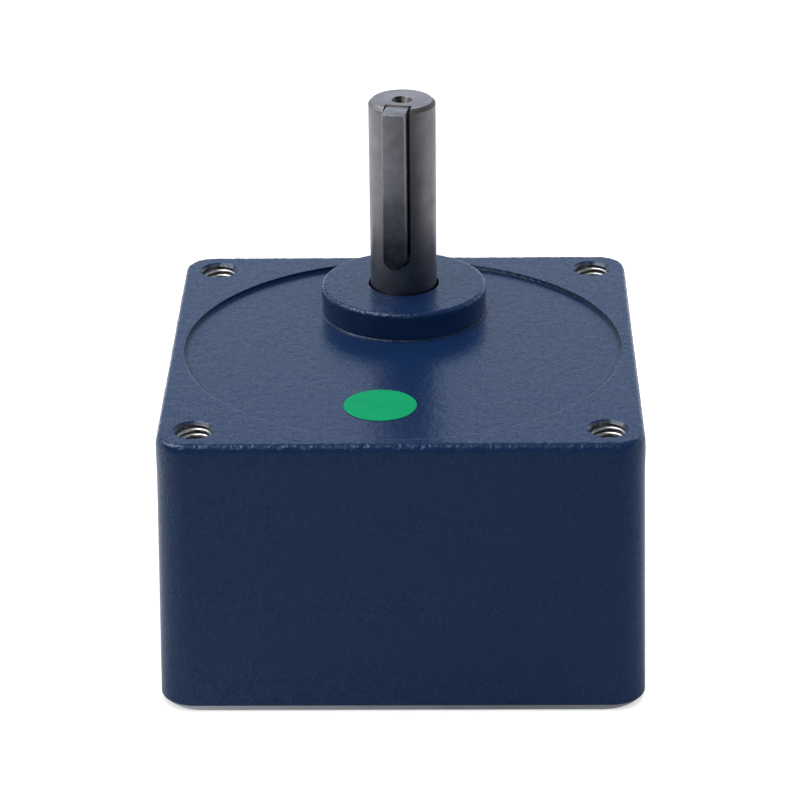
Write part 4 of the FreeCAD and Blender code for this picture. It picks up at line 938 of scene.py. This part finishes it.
class FinishShaft(bpy.types.Operator):
    """Give the output shaft its ground finish"""
    bl_idname = "gearhead.finish_shaft"
    bl_label = "Output shaft"

    def execute(self, context):
        tint = tuple(context.scene.gearhead_metal.shaft)
        dress(turned_metal("ground_shaft_steel", tint, OUTPUT_AXIS, 0.30, 0.10 * MM, 0.002 * MM, 0.5, True),
              "output_shaft")
        return {"FINISHED"}


class AddShaftKey(bpy.types.Operator):
    """Add the key at the shaft end, with worn edges and a painted highlight on them"""
    bl_idname = "gearhead.add_shaft_key"
    bl_label = "Shaft key"

    def execute(self, context):
        key = context.scene.gearhead_key
        low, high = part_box("shaft_key")
        half, steps, crisp_angle = key.width / 2 - key.slack, 24, math.radians(40.0)
        top, foot = high.z - key.end_sink, low.z + key.slack + half
        outward = Vector((-math.sin(key.turn), -math.cos(key.turn), 0.0))
        across = Vector((math.cos(key.turn), -math.sin(key.turn), 0.0))
        turns = [math.pi * step / steps for step in range(steps + 1)]
        round_end = [(half * math.cos(turn), foot - half * math.sin(turn)) for turn in turns]
        outline = [(half, top), *round_end, (-half, top)]
        bed = SHAFT_RADIUS - key.sink
        axis = Vector((*OUTPUT_AXIS, 0.0)) - across * key.lean
        form = bmesh.new()
        rings = [[form.verts.new(axis + outward * radius + across * side + Vector((0.0, 0.0, height)))
                  for side, height in outline] for radius in (bed, bed + key.height)]
        join_rings(form, rings, caps=True)
        bmesh.ops.recalc_face_normals(form, faces=form.faces)
        crisp = [edge for edge in form.edges if edge.calc_face_angle(0.0) > crisp_angle]
        bmesh.ops.bevel(form, geom=crisp, offset=key.bevel, segments=2, profile=0.6, affect="EDGES")
        rubbed_highlight = (axis, outward, across, half, bed + key.height, top, key.bevel)
        steel = drawn_steel("drawn_key_steel", tuple(context.scene.gearhead_metal.key), rubbed_highlight)
        piece = show("key_bar", plain_mesh("key_bar", form, KEY_SHARP, steel))
        carry(piece, "output", "shaft_steel", "shaft_key")
        return {"FINISHED"}


class AddLabel(bpy.types.Operator):
    """Add the plain round label on the recess floor"""
    bl_idname = "gearhead.add_label"
    bl_label = "Inspection label"

    def execute(self, context):
        label = context.scene.gearhead_label
        low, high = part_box("inspection_label")
        centre, radius = ((low.x + high.x) / 2, (low.y + high.y) / 2), (high.x - low.x) / 2
        edge, face, rings = (high.z - low.z) * 0.4, high.z - label.ripple, 12
        profile = [(radius * step / rings, face) for step in range(rings)]
        profile += [(radius - edge, face), (radius, high.z - edge), (radius, low.z), (0.0, low.z)]
        form = bmesh.new()
        lathe(form, profile, 96, centre)
        for point in form.verts:
            if point.co.z > high.z - edge * 0.9:
                x, y = point.co.x / MM, point.co.y / MM
                point.co.z += label.ripple * 0.5 * (math.sin(1.1 * x + 0.6 * y) + math.sin(0.7 * x - 1.3 * y))
        film = label_film(label.tint, high.z - edge * 0.75)
        piece = show("label_disc", plain_mesh("label_disc", form, TURNED_SHARP, film))
        carry(piece, "housing", "green_label", "inspection_label")
        return {"FINISHED"}


class FinishGearTrain(bpy.types.Operator):
    """Give the gears, bearings, bushes and washers inside their finishes"""
    bl_idname = "gearhead.finish_gear_train"
    bl_label = "Gear train"

    def execute(self, context):
        metal = context.scene.gearhead_metal
        gear, bearing, zinc = tuple(metal.gear), tuple(metal.bearing), tuple(metal.zinc)
        bronze = sintered_bronze(tuple(metal.bronze))
        ends, hobbed = ("front", "rear"), (0.34, 0.2 * MM, 0.004 * MM)
        for name, axis in (("first", FIRST_AXIS), ("second", SECOND_AXIS)):
            dress(turned_metal(f"{name}_gear_steel", gear, axis, *hobbed),
                  f"{name}_gear", f"{name}_pinion_shaft")
            dress(turned_metal(f"{name}_washer_steel", zinc, axis, 0.3, 0.15 * MM, 0.002 * MM),
                  f"{name}_thrust_washers")
            dress(bronze, *(f"{name}_{end}_bush" for end in ends))
        dress(turned_metal("output_gear_steel", gear, OUTPUT_AXIS, *hobbed), "output_gear")
        dress(turned_metal("bearing_steel_finish", bearing, OUTPUT_AXIS, 0.16, 0.08 * MM, 0.001 * MM, 0.1),
              *(f"{end}_bearing_{ring}_ring" for end in ends for ring in ("outer", "inner")))
        dress(turned_metal("ball_steel", bearing, OUTPUT_AXIS, 0.08, 0.5 * MM, 0.0002 * MM, 0.08),
              *(f"{end}_bearing_balls" for end in ends))
        dress(turned_metal("pressed_cage_steel", zinc, OUTPUT_AXIS, 0.38, 0.25 * MM, 0.002 * MM),
              "gear_retaining_ring", *(f"{end}_bearing_cage" for end in ends))
        dress(drawn_steel("gear_key_steel", tuple(metal.key)), "gear_key")
        return {"FINISHED"}


class SetStage(bpy.types.Operator):
    """Set up the floor, the soft boxes, the world and the camera"""
    bl_idname = "gearhead.set_stage"
    bl_label = "Studio"

    # name, centre, point it faces, width, height, radiance, whether it shows in reflections
    SOFT_BOXES = (
        ("back_box", (0.0, 0.75, 0.36), (0.0, 0.0, 0.04), 1.3, 0.60, 0.55, False),
        ("left_box", (-0.70, 0.15, 0.30), (0.0, 0.0, 0.04), 0.8, 0.55, 1.0, False),
        ("right_box", (0.75, 0.20, 0.30), (0.0, 0.0, 0.04), 0.7, 0.55, 0.75, False),
        ("top_box", (0.0, -0.05, 0.95), (0.0, 0.0, 0.0), 1.0, 0.9, 2.8, False),
        ("front_box", (0.0, -1.1, 0.75), (0.0, 0.0, 0.03), 1.2, 0.8, 0.6, False),
        ("rim_box", (-0.52, -0.04, 0.82), (0.0, 0.0, 0.04), 0.90, 0.78, 4.2, True),
        ("sparkle_box", (-0.24, -0.55, 0.76), (0.0, 0.0, 0.04), 0.55, 0.30, 1.3, True),
    )
    FLOOR_REACH, FLOOR_GAP = 6.0, 0.1 * MM
    FLOOR_SHEEN = (0.95, 1.0, 1.12)
    BACKDROP_TINT = (0.92, 1.05, 1.24)
    CAMERA_PLACE = Vector((7.3589, -446.448, 240.4045)) * MM
    PITCH, YAW, ROLL = math.radians(24.914), math.radians(1.010), math.radians(-0.651)

    def execute(self, context):
        settings = context.scene.gearhead_stage
        self.lay_floor(settings)
        self.light_world(context.scene, settings)
        for soft_box in self.SOFT_BOXES:
            self.hang_box(*soft_box)
        self.place_camera(context.scene, settings)
        context.scene.view_settings.view_transform = "Standard"
        return {"FINISHED"}

    def lay_floor(self, settings):
        """Pale floor just under the motor face; the part reflects it darker in front than at the sides."""
        reach, height = self.FLOOR_REACH, cad_box[0][2] - self.FLOOR_GAP
        mesh = bpy.data.meshes.new("studio_floor")
        mesh.from_pydata([(x * reach, y * reach, height) for x, y in SQUARE], [], [(0, 1, 2, 3)])
        paper = Finish("studio_paper", settings.floor)
        paper.tree.nodes.remove(paper.shader)
        paper.coat(paper.spread(paper.noise(0.4), 0.0, 0.02), (0.8, 0.8, 0.8))
        ray = paper.add("ShaderNodeLightPath").outputs
        matt = paper.out("ShaderNodeBsdfDiffuse", {"Color": paper.skin})
        glow = paper.out("ShaderNodeEmission", {
            "Strength": paper.times(ray["Is Camera Ray"], settings.floor_glow),
        })
        lit = paper.out("ShaderNodeAddShader", {0: matt, 1: glow})
        aside = paper.parts(paper.vector("NORMALIZE", paper.place))
        front, side, back = settings.front_mirror, settings.side_mirror, settings.back_mirror
        nearer = 0.3 * (back - side)
        mirrored = paper.math("ADD", paper.spread(aside["Y"], front, side, -0.95, 0.0),
                              paper.spread(aside["Y"], 0.0, nearer, 0.0, 0.7),
                              paper.spread(aside["Y"], 0.0, back - side - nearer, 0.7, 1.0))
        mirrored = paper.math("SUBTRACT", mirrored, paper.times(aside["X"], 0.16))
        sheen = paper.out("ShaderNodeEmission", {"Color": cover(self.FLOOR_SHEEN), "Strength": mirrored})
        surface = paper.out("ShaderNodeMixShader", {0: ray["Is Glossy Ray"], 1: lit, 2: sheen})
        paper.give(paper.tree.nodes["Material Output"].inputs["Surface"], surface)
        mesh.materials.append(paper.material)
        show("studio_floor", mesh)

    def light_world(self, scene, settings):
        """White for the camera, an even fill for matt surfaces, and for gloss a backdrop in a dark room."""
        world = bpy.data.worlds.new("studio")
        world.use_nodes = True
        scene.world = world
        sky = Tree(world.node_tree)
        ray = sky.add("ShaderNodeLightPath").outputs
        towards = sky.parts(sky.add("ShaderNodeTexCoord").outputs["Generated"])
        middle, top = math.sin(math.radians(25.0)), math.sin(math.radians(48.0))
        wall = sky.spread(towards["Z"], settings.horizon, settings.backdrop, 0.0, middle)
        fall = sky.spread(towards["Z"], 0.0, settings.backdrop - settings.room, middle, top)
        wall = sky.math("SUBTRACT", wall, fall)
        gloss = sky.mix(sky.spread(towards["Y"], 0.0, 1.0, -0.2, 0.5), [settings.room] * 3, wall)
        gloss = sky.vector("MULTIPLY", gloss, self.BACKDROP_TINT)
        light = sky.mix(ray["Is Glossy Ray"], [settings.fill] * 3, gloss)
        light = sky.mix(ray["Is Camera Ray"], light, (1.0, 1.0, 1.0))
        background = sky.tree.nodes["Background"]
        sky.give(background.inputs["Color"], light)
        sky.give(background.inputs["Strength"], 1.0)

    @staticmethod
    def hang_box(name, centre, target, width, height, radiance, mirrored):
        """A soft box of even brightness that the camera doesn't see."""
        light = bpy.data.lights.new(name, "AREA")
        light.shape, light.size, light.size_y = "RECTANGLE", width, height
        light.energy = radiance * math.pi * width * height
        box = show(name, light)
        box.location = centre
        box.rotation_euler = (Vector(target) - Vector(centre)).to_track_quat("-Z", "Y").to_euler()
        box.visible_camera = False
        box.visible_glossy, box.visible_diffuse = mirrored, not mirrored

    def place_camera(self, scene, settings):
        """Camera at the photograph's place, tilt and field of view."""
        back = Vector((math.sin(self.YAW) * math.cos(self.PITCH), -math.cos(self.YAW) * math.cos(self.PITCH),
                       math.sin(self.PITCH)))
        right = Vector((0.0, 0.0, 1.0)).cross(back).normalized()
        above = back.cross(right)
        turn = Matrix((right, above, back)).transposed() @ Matrix.Rotation(self.ROLL, 3, "Z")
        lens = bpy.data.cameras.new("photo_camera")
        lens.lens, lens.sensor_width, lens.clip_start = settings.lens, 36.0, 0.01
        scene.camera = show("photo_camera", lens)
        scene.camera.matrix_world = Matrix.Translation(self.CAMERA_PLACE) @ turn.to_4x4()


STEPS = (PaintCase, AddPaintBeads, FinishFlange, CutThreads, AddFlangeScrews, FinishShaft, AddShaftKey,
         AddLabel, FinishGearTrain, SetStage)


class GearheadPanel(bpy.types.Panel):
    """Sizes, colours and steps of the gearhead"""
    bl_idname = "GEARHEAD_PT_steps"
    bl_label = "Gearhead"
    bl_space_type = "VIEW_3D"
    bl_region_type = "UI"
    bl_category = "Gearhead"

    def draw(self, context):
        for attribute, group in SETTINGS:
            box = self.layout.box()
            box.label(text=group.__doc__.rstrip("."))
            for name in group.__annotations__:
                box.prop(getattr(context.scene, attribute), name)
        for step in STEPS:
            self.layout.operator(step.bl_idname)


CLASSES = tuple(group for _, group in SETTINGS) + STEPS + (GearheadPanel,)


def register():
    for item in CLASSES:
        bpy.utils.register_class(item)
    for attribute, group in SETTINGS:
        setattr(bpy.types.Scene, attribute, PointerProperty(type=group))


def unregister():
    for attribute, _ in SETTINGS:
        delattr(bpy.types.Scene, attribute)
    for item in reversed(CLASSES):
        bpy.utils.unregister_class(item)


def main():
    register()
    for step in STEPS:
        getattr(bpy.ops.gearhead, step.bl_idname.split(".")[1])()


if __name__ == "__main__":
    main()
